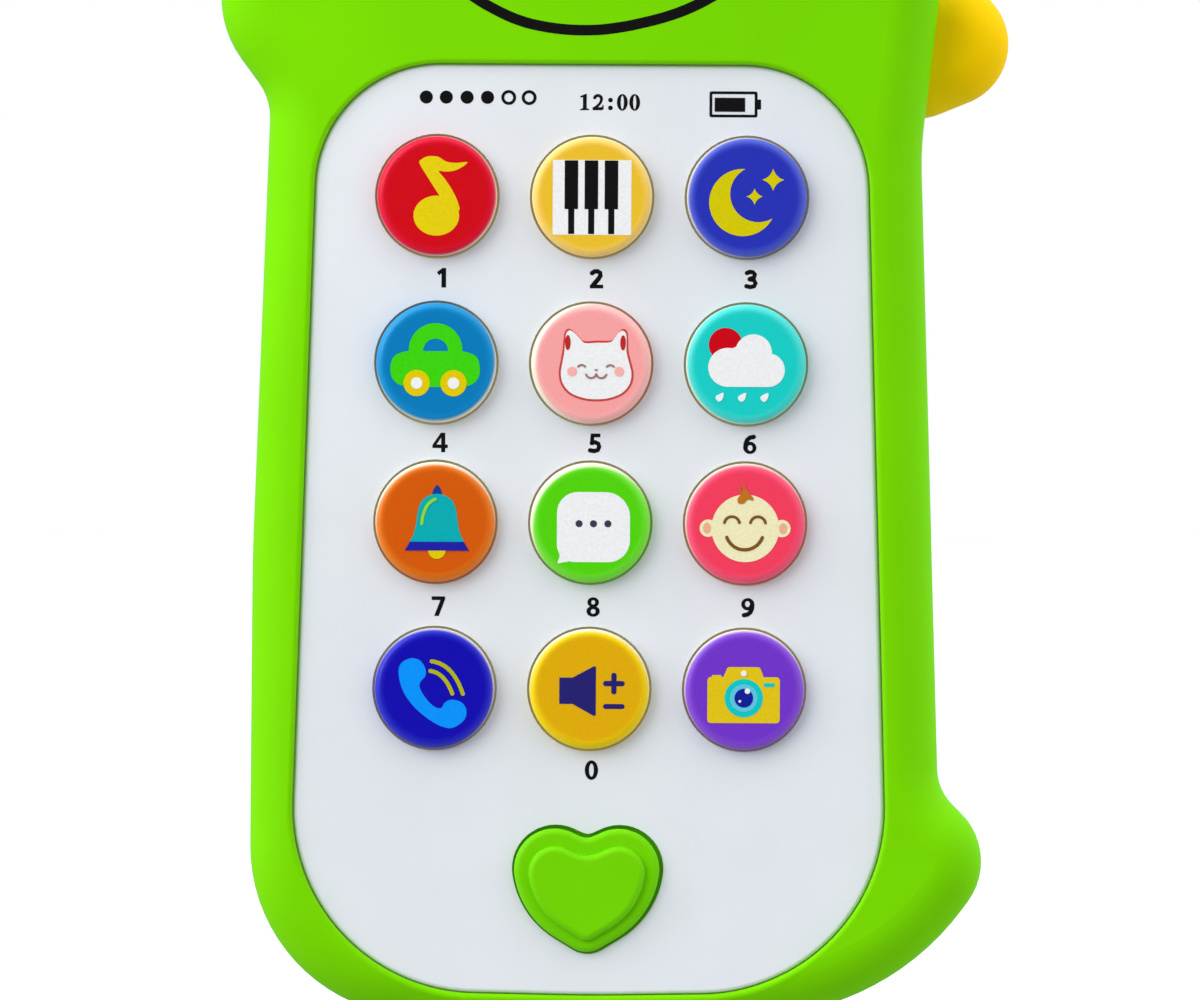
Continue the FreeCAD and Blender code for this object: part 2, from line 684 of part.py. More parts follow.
def make_speaker_cone():
    """Paper cone with its dust cap, hanging from the frame's rim."""
    low = SPEAKER_REAR
    outer = cone(0, SPEAKER_Y, SPEAKER_RADIUS - 2.2, 4.5, low + 0.1, low + 2.6)
    inner = cone(0, SPEAKER_Y, SPEAKER_RADIUS - 2.7, 4.0, low + 0.1, low + 2.2)
    cap = Part.makeSphere(6.0, V(0, SPEAKER_Y, low + 6.2))
    cap = cap.common(disc(0, SPEAKER_Y, 4.4, low, low + 2.4))
    return union([outer.cut(inner), cap])


def make_speaker_magnet():
    low = SPEAKER_REAR + 4.2
    body = union([disc(0, SPEAKER_Y, 8.5, low, low + 3.2), disc(0, SPEAKER_Y, 7.6, low + 3.2, low + 4.0)])
    return round_rim(body, 0.3, low + 4.0)


def make_speaker_screws():
    """Screws seen from inside: heads on the frame's ears, shanks pointing to the rear."""
    screws = []
    for x, y in speaker_screw_points():
        upright = screw(x, y, 0.0, 1.0, 3.2, SMALL_SCREW_RADIUS, SMALL_HEAD_RADIUS)
        upright.rotate(V(x, y, 0), V(1, 0, 0), 180)
        upright.translate(V(0, 0, SPEAKER_REAR + 0.8 + 1.0))
        screws.append(upright)
    return screws


def make_switch_body():
    low = REAR_LIP + WALL + 0.5
    body = block(-SWITCH_HALF_X, SWITCH_HALF_X, SWITCH_Y - SWITCH_HALF_Y, SWITCH_Y + SWITCH_HALF_Y,
                 low, low + 4.5)
    tabs = []
    for side in (-1, 1):
        tabs.append(disc(side * SWITCH_EAR_X, SWITCH_Y, 1.9, low, low + 0.8))
        tabs.append(block(min(0, side * SWITCH_EAR_X), max(0, side * SWITCH_EAR_X),
                          SWITCH_Y - 1.9, SWITCH_Y + 1.9, low, low + 0.8))
    body = union([body] + tabs)
    for side in (-1, 1):
        body = body.cut(disc(side * SWITCH_EAR_X, SWITCH_Y, SMALL_SCREW_HOLE, low - 1, low + 2))
    cavity_x = KNOB_HALF_X + 0.8 + SWITCH_TRAVEL + 0.2
    return body.cut(block(-cavity_x, cavity_x, SWITCH_Y - 2.2, SWITCH_Y + 2.2, low - 1, low + 2.6))


def make_switch_knob():
    """Knob with a ribbed thumb face, on a wider slider that stays inside the switch body."""
    low = REAR_LIP + WALL + 0.5
    stem = block(-KNOB_HALF_X, KNOB_HALF_X, SWITCH_Y - KNOB_HALF_Y, SWITCH_Y + KNOB_HALF_Y, KNOB_REAR, low + 1.0)
    stem = round_rim(stem, 0.3, KNOB_REAR)
    slider = block(-KNOB_HALF_X - 0.8, KNOB_HALF_X + 0.8, SWITCH_Y - 2.0, SWITCH_Y + 2.0, low + 0.2, low + 2.3)
    body = union([stem, slider])
    for step in (-1, 0, 1):
        body = body.cut(block(step * 1.3 - 0.25, step * 1.3 + 0.25, SWITCH_Y - 2, SWITCH_Y + 2,
                              KNOB_REAR - 1, KNOB_REAR + 0.3))
    return body


def make_switch_screws():
    screws = []
    for side in (-1, 1):
        upright = screw(side * SWITCH_EAR_X, SWITCH_Y, 0.0, 1.0, 3.0, SMALL_SCREW_RADIUS, SMALL_HEAD_RADIUS)
        upright.rotate(V(side * SWITCH_EAR_X, SWITCH_Y, 0), V(1, 0, 0), 180)
        upright.translate(V(0, 0, REAR_LIP + WALL + 0.5 + 0.8 + 1.0))
        screws.append(upright)
    return screws


# ---------------------------------------------------------------- leads

def battery_lead(side, number):
    """Lead from a single contact plate through the compartment's ceiling to the board."""
    x = side * (BAY_HALF_X - 0.8)
    y = cell_y(number)
    deep = BAY_CEILING + BAY_WALL + 0.55
    return lead([(x, y, 13.0), (x, y, deep), (x, -8.0, deep), (x, -8.0, BOARD_REAR)], 0.4, 0.45)


def speaker_lead(x):
    y = SPEAKER_Y - SPEAKER_RADIUS + 0.9
    return lead([(x, y, SPEAKER_REAR + 0.8), (x, y, 11.0), (x, y - 4, 12.5), (x, y - 4, BOARD_REAR)], 0.4, 1.2)


def switch_lead(x):
    top = REAR_LIP + WALL + 5.0
    return lead([(x, SWITCH_Y, top), (x, SWITCH_Y, 11.5), (x, SWITCH_Y - 4, 13.5), (x, SWITCH_Y - 4, BOARD_REAR)],
                0.4, 1.2)


# ---------------------------------------------------------------- writing the pieces

def save(name, shapes):
    """Stand a piece up in the part's frame and write it as its own file."""
    if not isinstance(shapes, list):
        shapes = [shapes]
    piece = Part.makeCompound(shapes) if len(shapes) > 1 else shapes[0].copy()
    piece.rotate(V(0, 0, 0), V(1, 0, 0), 90)
    piece.translate(V(0, SLEEVE_DEPTH / 2, -FOOT_Y))
    piece.exportStep("parts/" + name + ".step")


def main():
    os.makedirs("parts", exist_ok=True)
    save("sleeve", make_sleeve())
    for name, (x, y, heading, length) in SPIKES.items():
        save(name, make_spike(x, y, heading, length))
    save("eye_whites", [make_eye_white(side) for side in (-1, 1)])
    save("eye_pupils", [make_pupil(side) for side in (-1, 1)])
    save("front_shell", make_front_shell())
    save("rear_shell", make_rear_shell())
    save("case_screws", make_case_screws())
    for name, (x, y) in key_centres().items():
        save("button_" + name, make_key(x, y))
    save("button_heart", make_heart_key())
    save("keypad_mat", make_keypad_mat())
    save("carbon_pills", make_carbon_pills())
    save("circuit_board", make_circuit_board())
    save("board_screws", make_board_screws())
    save("sound_chip", make_sound_chip())
    save("capacitor", make_capacitor())
    save("battery_door", make_battery_door())
    save("battery_door_screws", make_battery_door_screws())
    for number in range(3):
        save("battery_cell_" + str(number + 1), make_battery_cell(number))
    save("battery_springs", make_battery_springs())
    save("battery_contact_plates", make_battery_contact_plates())
    save("speaker_gasket", make_speaker_gasket())
    save("speaker_frame", make_speaker_frame())
    save("speaker_cone", make_speaker_cone())
    save("speaker_magnet", make_speaker_magnet())
    save("speaker_screws", make_speaker_screws())
    save("switch_body", make_switch_body())
    save("switch_knob", make_switch_knob())
    save("switch_screws", make_switch_screws())
    save("battery_lead_red", battery_lead(-1, 0))
    save("battery_lead_black", battery_lead(1, 2))
    save("speaker_lead_red", speaker_lead(-2.5))
    save("speaker_lead_black", speaker_lead(2.5))
    save("switch_leads", [switch_lead(-2.5), switch_lead(2.5)])


main()
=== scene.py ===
import math

import bmesh
import bpy
from mathutils import Matrix, Vector, geometry


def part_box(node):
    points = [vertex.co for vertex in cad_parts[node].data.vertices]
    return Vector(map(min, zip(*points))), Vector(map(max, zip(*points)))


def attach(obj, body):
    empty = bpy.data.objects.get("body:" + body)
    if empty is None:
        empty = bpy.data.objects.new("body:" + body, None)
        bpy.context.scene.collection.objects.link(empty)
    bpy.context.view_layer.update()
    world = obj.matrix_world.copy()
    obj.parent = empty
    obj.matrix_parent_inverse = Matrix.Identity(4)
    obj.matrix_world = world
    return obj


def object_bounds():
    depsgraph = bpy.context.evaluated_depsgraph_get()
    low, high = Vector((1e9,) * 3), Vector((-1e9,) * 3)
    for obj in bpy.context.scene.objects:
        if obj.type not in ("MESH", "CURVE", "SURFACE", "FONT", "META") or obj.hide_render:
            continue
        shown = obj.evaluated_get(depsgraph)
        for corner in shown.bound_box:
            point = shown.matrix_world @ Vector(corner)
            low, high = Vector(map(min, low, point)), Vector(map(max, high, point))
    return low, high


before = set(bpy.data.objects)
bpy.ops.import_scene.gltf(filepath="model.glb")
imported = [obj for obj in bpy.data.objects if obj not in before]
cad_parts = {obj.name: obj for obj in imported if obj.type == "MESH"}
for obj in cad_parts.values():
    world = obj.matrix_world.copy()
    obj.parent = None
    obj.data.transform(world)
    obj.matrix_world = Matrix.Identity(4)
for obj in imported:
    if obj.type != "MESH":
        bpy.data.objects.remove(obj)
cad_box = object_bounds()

MM = 0.001
BODY = "phone"
KEYS = ("music", "piano", "moon", "car", "cat", "weather",
        "bell", "chat", "baby", "call", "volume", "camera")


# ---------------------------------------------------------------- places read from the frame

def centre_of(node):
    low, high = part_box(node)
    return (low + high) / 2


def front_of(node):
    """The Y of a node's face nearest the user."""
    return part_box(node)[0].y


PANEL_FRONT = front_of("front_shell")
SLEEVE_FRONT = front_of("sleeve")
TOP_ROW = centre_of("button_piano")
HEAD_EYES = centre_of("eye_whites")


# ---------------------------------------------------------------- colours and materials

def srgb(red, green, blue):
    """A colour given as screen values from 0 to 255, as the linear RGBA that shaders take."""
    linear = []
    for value in (red, green, blue):
        part = value / 255
        linear.append(part / 12.92 if part <= 0.04045 else ((part + 0.055) / 1.055) ** 2.4)
    return (*linear, 1.0)


def tinted(colour, factor):
    return (*(min(1.0, channel * factor) for channel in colour[:3]), 1.0)


CREAM = srgb(238, 234, 216)
# A print's edge on a round cap: where its painted highlight on the rounded edge starts and is full, and
# where the ink ends
RIM_HIGHLIGHT_RADII = (6.1 * MM, 7.5 * MM)
PRINT_RADII = (7.25 * MM, 7.75 * MM)
# The painted glow in the narrow gaps round the keys, an emission standing in for light through the pale
# plastic: its colours, its strength, and how far behind the panel's face it starts and is full
PAINTED_GAP_GLOW_COLOUR = srgb(136, 128, 96)
PAINTED_HEART_GLOW = srgb(62, 120, 6)
PAINTED_GAP_GLOW = 0.24
GAP_START = 0.05 * MM
GAP_FULL = 0.5 * MM
# A battery cell: its colours, how far along the blue half reaches, and the bare steel at each end
CELL_BLUE = srgb(46, 92, 150)
CELL_SILVER = srgb(196, 198, 200)
CELL_STEEL = srgb(180, 180, 182)
CELL_BLUE_END = 0.38
CELL_BARE_END = 1.5 * MM


class Shader:
    """A node material with a principled surface, built up step by step."""

    def __init__(self, name, roughness, specular=0.5):
        self.material = bpy.data.materials.new(name)
        self.material.use_nodes = True
        self.tree = self.material.node_tree
        self.surface = self.tree.nodes["Principled BSDF"]
        self.surface.inputs["Roughness"].default_value = roughness
        self.surface.inputs["Specular IOR Level"].default_value = specular
        self.place = self.tree.nodes.new("ShaderNodeTexCoord").outputs["Object"]

    def link(self, source, target):
        self.tree.links.new(source, target)

    def axes(self):
        """The three coordinates of the point being shaded."""
        node = self.tree.nodes.new("ShaderNodeSeparateXYZ")
        self.link(self.place, node.inputs["Vector"])
        return node.outputs

    def noise(self, size, detail=3.0):
        """Noise whose features are about size metres across."""
        node = self.tree.nodes.new("ShaderNodeTexNoise")
        node.inputs["Scale"].default_value = 1 / size
        node.inputs["Detail"].default_value = detail
        self.link(self.place, node.inputs["Vector"])
        return node.outputs["Fac"]

    def spread(self, value, low, high, from_low=0.3, from_high=0.7, smooth=False):
        """Carry a value from one range to another; the default range is where noise mostly lies."""
        node = self.tree.nodes.new("ShaderNodeMapRange")
        node.inputs["From Min"].default_value = from_low
        node.inputs["From Max"].default_value = from_high
        node.inputs["To Min"].default_value = low
        node.inputs["To Max"].default_value = high
        if smooth:
            node.interpolation_type = "SMOOTHSTEP"
        self.link(value, node.inputs["Value"])
        return node.outputs["Result"]

    def mix(self, factor, first, second):
        """Blend of two colours, each a socket or an RGBA value."""
        node = self.tree.nodes.new("ShaderNodeMix")
        node.data_type = "RGBA"
        self.link(factor, node.inputs["Factor"])
        for socket, value in ((node.inputs["A"], first), (node.inputs["B"], second)):
            if isinstance(value, tuple):
                socket.default_value = value
            else:
                self.link(value, socket)
        return node.outputs["Result"]

    def maths(self, operation, first, second=None):
        node = self.tree.nodes.new("ShaderNodeMath")
        node.operation = operation
        for socket, value in ((node.inputs[0], first), (node.inputs[1], second)):
            if isinstance(value, (int, float)):
                socket.default_value = value
            elif value is not None:
                self.link(value, socket)
        return node.outputs["Value"]

    def mottled(self, colour, size, amount):
        """The colour, drifting a little lighter and darker over patches of the given size."""
        drift = self.spread(self.noise(size), 0.0, 1.0)
        return self.mix(drift, tinted(colour, 1 - amount), tinted(colour, 1 + amount))

    def colour(self, socket):
        self.link(socket, self.surface.inputs["Base Color"])

    def roughness(self, size, low, high):
        self.link(self.spread(self.noise(size), low, high), self.surface.inputs["Roughness"])

    def bump(self, height, distance, strength=1.0):
        node = self.tree.nodes.new("ShaderNodeBump")
        node.inputs["Strength"].default_value = strength
        node.inputs["Distance"].default_value = distance
        self.link(height, node.inputs["Height"])
        self.link(node.outputs["Normal"], self.surface.inputs["Normal"])


def silicone(name, colour, specular=0.06):
    """Soft satin rubber: very fine skin, slow drift in colour, low gloss."""
    shader = Shader(name, 0.5, specular=specular)
    shader.colour(shader.mottled(colour, 18 * MM, 0.025))
    shader.roughness(3 * MM, 0.44, 0.54)
    shader.bump(shader.noise(0.22 * MM, 2.0), 0.006 * MM, 0.35)
    return shader.material


def plastic(name, colour, low=0.3, high=0.4, specular=0.35, grain=0.35 * MM, depth=0.004 * MM):
    """Moulded plastic with a fine texture from the tool."""
    shader = Shader(name, (low + high) / 2, specular)
    shader.colour(shader.mottled(colour, 9 * MM, 0.015))
    shader.roughness(2 * MM, low, high)
    shader.bump(shader.noise(grain, 2.0), depth, 0.5)
    return shader.material


def metal(name, colour, low=0.25, high=0.45):
    """Plated or pressed metal with fine handling marks."""
    shader = Shader(name, (low + high) / 2)
    shader.surface.inputs["Metallic"].default_value = 1.0
    shader.colour(shader.mottled(colour, 2 * MM, 0.08))
    shader.roughness(0.7 * MM, low, high)
    shader.bump(shader.noise(0.25 * MM), 0.01 * MM, 0.4)
    return shader.material


def ink(name, colour):
    """Printed ink: flat and even, with a faint speckle of the screen."""
    shader = Shader(name, 0.36, specular=0.15)
    shader.colour(shader.mottled(colour, 0.35 * MM, 0.05))
    shader.roughness(1 * MM, 0.32, 0.42)
    shader.bump(shader.noise(0.3 * MM, 2.0), 0.003 * MM, 0.4)
    return shader.material


def printed_cap(name, colour, rim_highlight_colour, centre, print_centre):
    """A cream cap with a round print on its face, given a painted highlight where it turns over the rounded
    edge.
    """
    shader = Shader(name, 0.3, specular=0.2)
    axes = shader.axes()

    def distance_from(point):
        across = shader.maths("SUBTRACT", axes["X"], point[0])
        up = shader.maths("SUBTRACT", axes["Z"], point[1])
        squares = shader.maths("ADD", shader.maths("POWER", across, 2.0), shader.maths("POWER", up, 2.0))
        return shader.maths("SQRT", squares)

    # Painted highlight on the rounded edge: the print turns paler in a ring round the cap's middle
    rim_highlight_mask = shader.spread(distance_from(centre), 0.0, 1.0, *RIM_HIGHLIGHT_RADII, smooth=True)
    outside = shader.spread(distance_from(print_centre), 0.0, 1.0, *PRINT_RADII, smooth=True)
    # The print's colour, plain and with the painted highlight of the rounded edge
    flat, turned = (shader.mottled(shade, 0.3 * MM, 0.035) for shade in (colour, rim_highlight_colour))
    print_colour = shader.mix(rim_highlight_mask, flat, turned)
    shader.colour(shader.mix(outside, print_colour, shader.mottled(CREAM, 4 * MM, 0.02)))
    shader.roughness(1.5 * MM, 0.27, 0.36)
    shader.bump(shader.noise(0.4 * MM, 2.0), 0.003 * MM, 0.4)
    # Painted glow on the cap's sides inside the gap round the key
    painted_glow_in_gap(shader, PAINTED_GAP_GLOW_COLOUR)
    return shader.material


def painted_glow_in_gap(shader, colour):
    """Painted glow: an emission on the faces behind the panel's face, standing in for the little light that
    comes off the pale parts inside into the narrow gap round a key.
    """
    start, full = PANEL_FRONT + GAP_START, PANEL_FRONT + GAP_FULL
    behind = shader.spread(shader.axes()["Y"], 0.0, PAINTED_GAP_GLOW, start, full)
    shader.surface.inputs["Emission Color"].default_value = colour
    shader.link(behind, shader.surface.inputs["Emission Strength"])


def battery_wrap(name, node):
    """Glossy two-colour plastic wrap round a battery cell, with bare steel at both ends."""
    low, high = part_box(node)
    middle, half = (low.x + high.x) / 2, (high.x - low.x) / 2
    blue_end, bare_end = half * CELL_BLUE_END, half - CELL_BARE_END
    shader = Shader(name, 0.26, specular=0.4)
    along = shader.maths("SUBTRACT", shader.axes()["X"], middle)
    silver = shader.spread(along, 0.0, 1.0, blue_end, blue_end + half * 0.01)
    bare = shader.spread(shader.maths("ABSOLUTE", along), 0.0, 1.0, bare_end, bare_end + 0.1 * MM)
    blue_wrap, silver_wrap = (shader.mottled(colour, 2 * MM, 0.03) for colour in (CELL_BLUE, CELL_SILVER))
    wrap = shader.mix(silver, blue_wrap, silver_wrap)
    shader.colour(shader.mix(bare, wrap, shader.mottled(CELL_STEEL, 1 * MM, 0.06)))
    shader.link(bare, shader.surface.inputs["Metallic"])
    shader.roughness(1.5 * MM, 0.2, 0.32)
    shader.bump(shader.noise(0.4 * MM, 2.0), 0.004 * MM, 0.5)
    return shader.material


def keypad_plastic(name, colour, glow, specular):
    """Satin plastic of the keypad panel and its heart key, with a painted glow in the gaps."""
    shader = Shader(name, 0.38, specular)
    shader.colour(shader.mottled(colour, 9 * MM, 0.015))
    shader.roughness(2 * MM, 0.34, 0.42)
    shader.bump(shader.noise(0.35 * MM, 2.0), 0.004 * MM, 0.5)
    # Painted glow on the faces inside the gaps
    painted_glow_in_gap(shader, glow)
    return shader.material


KEY_COLOURS = {
    "music": srgb(206, 4, 21), "piano": srgb(236, 191, 45), "moon": srgb(38, 50, 182),
    "car": srgb(1, 122, 186), "cat": srgb(248, 163, 163), "weather": srgb(22, 206, 198),
    "bell": srgb(212, 90, 4), "chat": srgb(82, 212, 5), "baby": srgb(244, 62, 93),
    "call": srgb(15, 6, 176), "volume": srgb(224, 172, 3), "camera": srgb(112, 52, 202),
}
# How far each print sits from the middle of its cap, in mm to the right and up
PRINT_SHIFT = {
    "music": (-0.12, 0.08), "piano": (0.0, -0.06), "moon": (0.15, -0.04), "car": (-0.14, 0.24),
    "cat": (0.55, -0.05), "weather": (0.12, 0.05), "bell": (0.06, -0.34), "chat": (0.3, -0.48),
    "baby": (0.09, -0.2), "call": (-0.1, -0.15), "volume": (0.0, -0.27), "camera": (0.05, -0.2),
}
# The lit, paler colour of each print where it turns over the cap's rounded edge: a painted highlight
RIM_HIGHLIGHT_COLOURS = {
    "music": srgb(226, 20, 62), "piano": srgb(252, 214, 120), "moon": srgb(84, 100, 212),
    "car": srgb(24, 148, 212), "cat": srgb(252, 192, 188), "weather": srgb(84, 224, 218),
    "bell": srgb(236, 130, 34), "chat": srgb(126, 232, 66), "baby": srgb(252, 92, 130),
    "call": srgb(48, 52, 204), "volume": srgb(246, 220, 8), "camera": srgb(140, 84, 218),
}

INKS = {
    "yellow": ink("ink_yellow", srgb(226, 204, 10)),
    "moon_yellow": ink("ink_moon_yellow", srgb(212, 200, 0)),
    "black": ink("ink_black", srgb(14, 13, 15)),
    "white": ink("ink_white", srgb(238, 240, 242)),
    "car_green": ink("ink_car_green", srgb(60, 210, 10)),
    "wheel_yellow": ink("ink_wheel_yellow", srgb(224, 200, 0)),
    "red": ink("ink_red", srgb(204, 0, 20)),
    "outline_red": ink("ink_outline_red", srgb(200, 66, 62)),
    "ear_red": ink("ink_ear_red", srgb(190, 40, 40)),
    "cheek_pink": ink("ink_cheek_pink", srgb(248, 178, 172)),
    "line_brown": ink("ink_line_brown", srgb(158, 112, 112)),
    "teal": ink("ink_teal", srgb(2, 172, 178)),
    "navy": ink("ink_navy", srgb(36, 32, 112)),
    "knob_blue": ink("ink_knob_blue", srgb(22, 58, 140)),
    "dot_grey": ink("ink_dot_grey", srgb(58, 58, 78)),
    "brim_blue": ink("ink_brim_blue", srgb(30, 30, 165)),
    "lime": ink("ink_lime", srgb(150, 214, 40)),
    "skin": ink("ink_skin", srgb(240, 234, 190)),
    "peach": ink("ink_peach", srgb(234, 178, 140)),
    "hair": ink("ink_hair", srgb(190, 116, 30)),
    "line_dark": ink("ink_line_dark", srgb(122, 84, 26)),
    "handset_blue": ink("ink_handset_blue", srgb(4, 146, 255)),
    "ring_yellow": ink("ink_ring_yellow", srgb(178, 180, 10)),
    "camera_yellow": ink("ink_camera_yellow", srgb(225, 195, 20)),
    "lens_teal": ink("ink_lens_teal", srgb(10, 200, 196)),
    "lens_blue": ink("ink_lens_blue", srgb(96, 196, 226)),
    "lens_navy": ink("ink_lens_navy", srgb(10, 30, 150)),
}


def paint(node, material):
    """Give a CAD node its material."""
    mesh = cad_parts[node].data
    mesh.materials.clear()
    mesh.materials.append(material)


def paint_sleeve_and_shells():
    paint("sleeve", silicone("sleeve_silicone", srgb(119, 215, 2), specular=0.03))
    yellow = silicone("spike_silicone", srgb(252, 208, 0), specular=0.03)
    for node in ("spike_side", "spike_shoulder", "spike_top"):
        paint(node, yellow)
    # The panel and the heart key get a painted glow in their gaps
    paint("front_shell", keypad_plastic("panel_plastic", srgb(228, 233, 239), PAINTED_GAP_GLOW_COLOUR, 0.3))
    paint("rear_shell", plastic("rear_plastic", srgb(224, 226, 226), 0.48, 0.6, depth=0.02 * MM))
    paint("battery_door", plastic("door_plastic", srgb(220, 222, 222), 0.48, 0.6, depth=0.02 * MM))
    paint("eye_whites", plastic("eye_white", srgb(244, 244, 240), 0.12, 0.2, specular=0.5))
    paint("eye_pupils", plastic("eye_black", srgb(16, 15, 18), 0.08, 0.16, specular=0.5))
    paint("button_heart", keypad_plastic("heart_plastic", srgb(114, 212, 2), PAINTED_HEART_GLOW, 0.08))
    paint("switch_knob", plastic("knob_plastic", srgb(30, 30, 32), 0.35, 0.45))


def paint_insides():
    steel = metal("screw_steel", srgb(170, 172, 176))
    for node in ("case_screws", "board_screws", "battery_door_screws", "speaker_screws", "switch_screws"):
        paint(node, steel)
    nickel = metal("nickel", srgb(196, 192, 184), 0.2, 0.35)
    for node in ("battery_springs", "battery_contact_plates"):
        paint(node, nickel)
    pressed = metal("pressed_steel", srgb(150, 152, 156), 0.35, 0.5)
    for node in ("speaker_frame", "switch_body"):
        paint(node, pressed)
    paint("capacitor", metal("can_aluminium", srgb(188, 190, 194), 0.3, 0.4))
    for number in range(1, 4):
        node = f"battery_cell_{number}"
        paint(node, battery_wrap(f"cell_wrap_{number}", node))
    paint("keypad_mat", silicone("mat_silicone", srgb(180, 182, 180)))
    paint("carbon_pills", plastic("carbon", srgb(30, 30, 32), 0.6, 0.8))
    paint("circuit_board", plastic("solder_mask", srgb(24, 96, 52), 0.25, 0.4))
    paint("sound_chip", plastic("epoxy", srgb(18, 18, 19), 0.12, 0.3))
    paper = plastic("treated_paper", srgb(44, 44, 46), 0.7, 0.9, grain=0.8 * MM, depth=0.05 * MM)
    paint("speaker_cone", paper)
    paint("speaker_magnet", plastic("ferrite", srgb(62, 62, 66), 0.5, 0.7))
    paint("speaker_gasket", plastic("gasket_foam", srgb(34, 34, 35), 0.8, 0.95, depth=0.05 * MM))
    for colour, shade in (("red", srgb(186, 22, 22)), ("black", srgb(24, 24, 26))):
        insulation = plastic(f"insulation_{colour}", shade, 0.4, 0.5)
        for place in ("battery", "speaker"):
            paint(f"{place}_lead_{colour}", insulation)
    paint("switch_leads", plastic("insulation_white", srgb(226, 226, 220), 0.4, 0.5))


def print_centre(key):
    """Where the middle of a key's print lies, as (X, Z) in metres."""
    middle = centre_of("button_" + key)
    shift = PRINT_SHIFT[key]
    return middle.x + shift[0] * MM, middle.z + shift[1] * MM


def paint_keys():
    for key in KEYS:
        middle = centre_of("button_" + key)
        centre = (middle.x, middle.z)
        cap = printed_cap("cap_" + key, KEY_COLOURS[key], RIM_HIGHLIGHT_COLOURS[key], centre, print_centre(key))
        paint("button_" + key, cap)


# ---------------------------------------------------------------- flat outlines, in mm

def ellipse(x, y, half_x, half_y, turn=0.0, count=48):
    loop = []
    cos, sin = math.cos(math.radians(turn)), math.sin(math.radians(turn))
    for step in range(count):
        angle = 2 * math.pi * step / count
        along, across = half_x * math.cos(angle), half_y * math.sin(angle)
        loop.append((x + along * cos - across * sin, y + along * sin + across * cos))
    return loop


def circle(x, y, radius, count=48):
    return ellipse(x, y, radius, radius, count=count)


def arc(x, y, radius, start, end, count=24):
    """Points along an arc, from one angle to another in degrees."""
    points = []
    for step in range(count + 1):
        angle = math.radians(start + (end - start) * step / count)
        points.append((x + radius * math.cos(angle), y + radius * math.sin(angle)))
    return points


def rounded_box(x_low, x_high, y_low, y_high, rounding):
    """Rectangle with rounded corners; rounding is one radius or four, from lower left counter-clockwise."""
    radii = rounding if isinstance(rounding, tuple) else (rounding,) * 4
    corners = ((x_low, y_low, 1, 1, 180), (x_high, y_low, -1, 1, 270),
               (x_high, y_high, -1, -1, 0), (x_low, y_high, 1, -1, 90))
    loop = []
    for (x, y, inward_x, inward_y, start), radius in zip(corners, radii):
        loop += arc(x + inward_x * radius, y + inward_y * radius, radius, start, start + 90, 8)
    return loop


def curve_between(neighbours, steps):
    """Points from the second of four neighbours towards the third, on a curve that passes through both."""
    p0, p1, p2, p3 = (Vector(point) for point in neighbours)
    points = []
    for step in range(steps):
        t = step / steps
        points.append(tuple(0.5 * (2 * p1 + (p2 - p0) * t + (2 * p0 - 5 * p1 + 4 * p2 - p3) * t * t
                                   + (3 * p1 - p0 - 3 * p2 + p3) * t ** 3)))
    return points


def smooth(points, steps=6):
    """Closed smooth loop through the points."""
    loop = []
    count = len(points)
    for index in range(count):
        loop += curve_between([points[(index + shift) % count] for shift in (-1, 0, 1, 2)], steps)
    return loop


def smooth_path(points, steps=6):
    """Open smooth line through the points."""
    ends = [points[0]] + points + [points[-1]]
    line = []
    for index in range(len(points) - 1):
        line += curve_between(ends[index:index + 4], steps)
    return line + [points[-1]]


def bend(start, control, end, count=16):
    """Points along a single curved sweep between two ends."""
    p0, p1, p2 = Vector(start), Vector(control), Vector(end)
    points = []
    for step in range(count + 1):
        t = step / count
        points.append(tuple(p0 * (1 - t) ** 2 + p1 * 2 * t * (1 - t) + p2 * t * t))
    return points


def stroke(points, width):
    """Outline of a pen line of the given width along a smooth path, with round ends."""
    path = [Vector(point) for point in points]
    half = width / 2
    left, right = [], []
    for index, point in enumerate(path):
        along = (path[min(index + 1, len(path) - 1)] - path[max(index - 1, 0)]).normalized()
        across = Vector((-along.y, along.x)) * half
        left.append(tuple(point + across))
        right.append(tuple(point - across))
    first = math.degrees(math.atan2(path[1].y - path[0].y, path[1].x - path[0].x))
    last = math.degrees(math.atan2(path[-1].y - path[-2].y, path[-1].x - path[-2].x))
    end_cap = arc(*path[-1], half, last - 90, last + 90, 8)[1:-1]
    start_cap = arc(*path[0], half, first + 90, first + 270, 8)[1:-1]
    return right + end_cap + left[::-1] + start_cap


def star(x, y, size):
    """Four-pointed star with hollow sides."""
    loop = []
    for quarter in range(4):
        turn = math.radians(90 * quarter)
        cos, sin = math.cos(turn), math.sin(turn)
        for along, across in bend((size, 0), (size * 0.22, size * 0.22), (0, size), 8)[:-1]:
            loop.append((x + along * cos - across * sin, y + along * sin + across * cos))
    return loop


# ---------------------------------------------------------------- printed pieces

# Each ink layer stands this much higher than the one below it
INK_STEP = 0.02 * MM


def flat_region(add, cut):
    """Points and faces of the region inside any of the add loops and outside every cut loop."""
    points, loops = [], []
    for loop in list(add) + list(cut):
        area = sum(a[0] * b[1] - b[0] * a[1] for a, b in zip(loop, loop[1:] + loop[:1]))
        ordered = loop if area > 0 else loop[::-1]
        loops.append(list(range(len(points), len(points) + len(ordered))))
        points += [Vector(point) for point in ordered]
    corners, _, faces, _, _, face_sources = geometry.delaunay_2d_cdt(points, [], loops, 1, 1e-5)
    kept = []
    for face, sources in zip(faces, face_sources):
        if sources and all(source < len(add) for source in sources):
            kept.append(face)
    return corners, kept


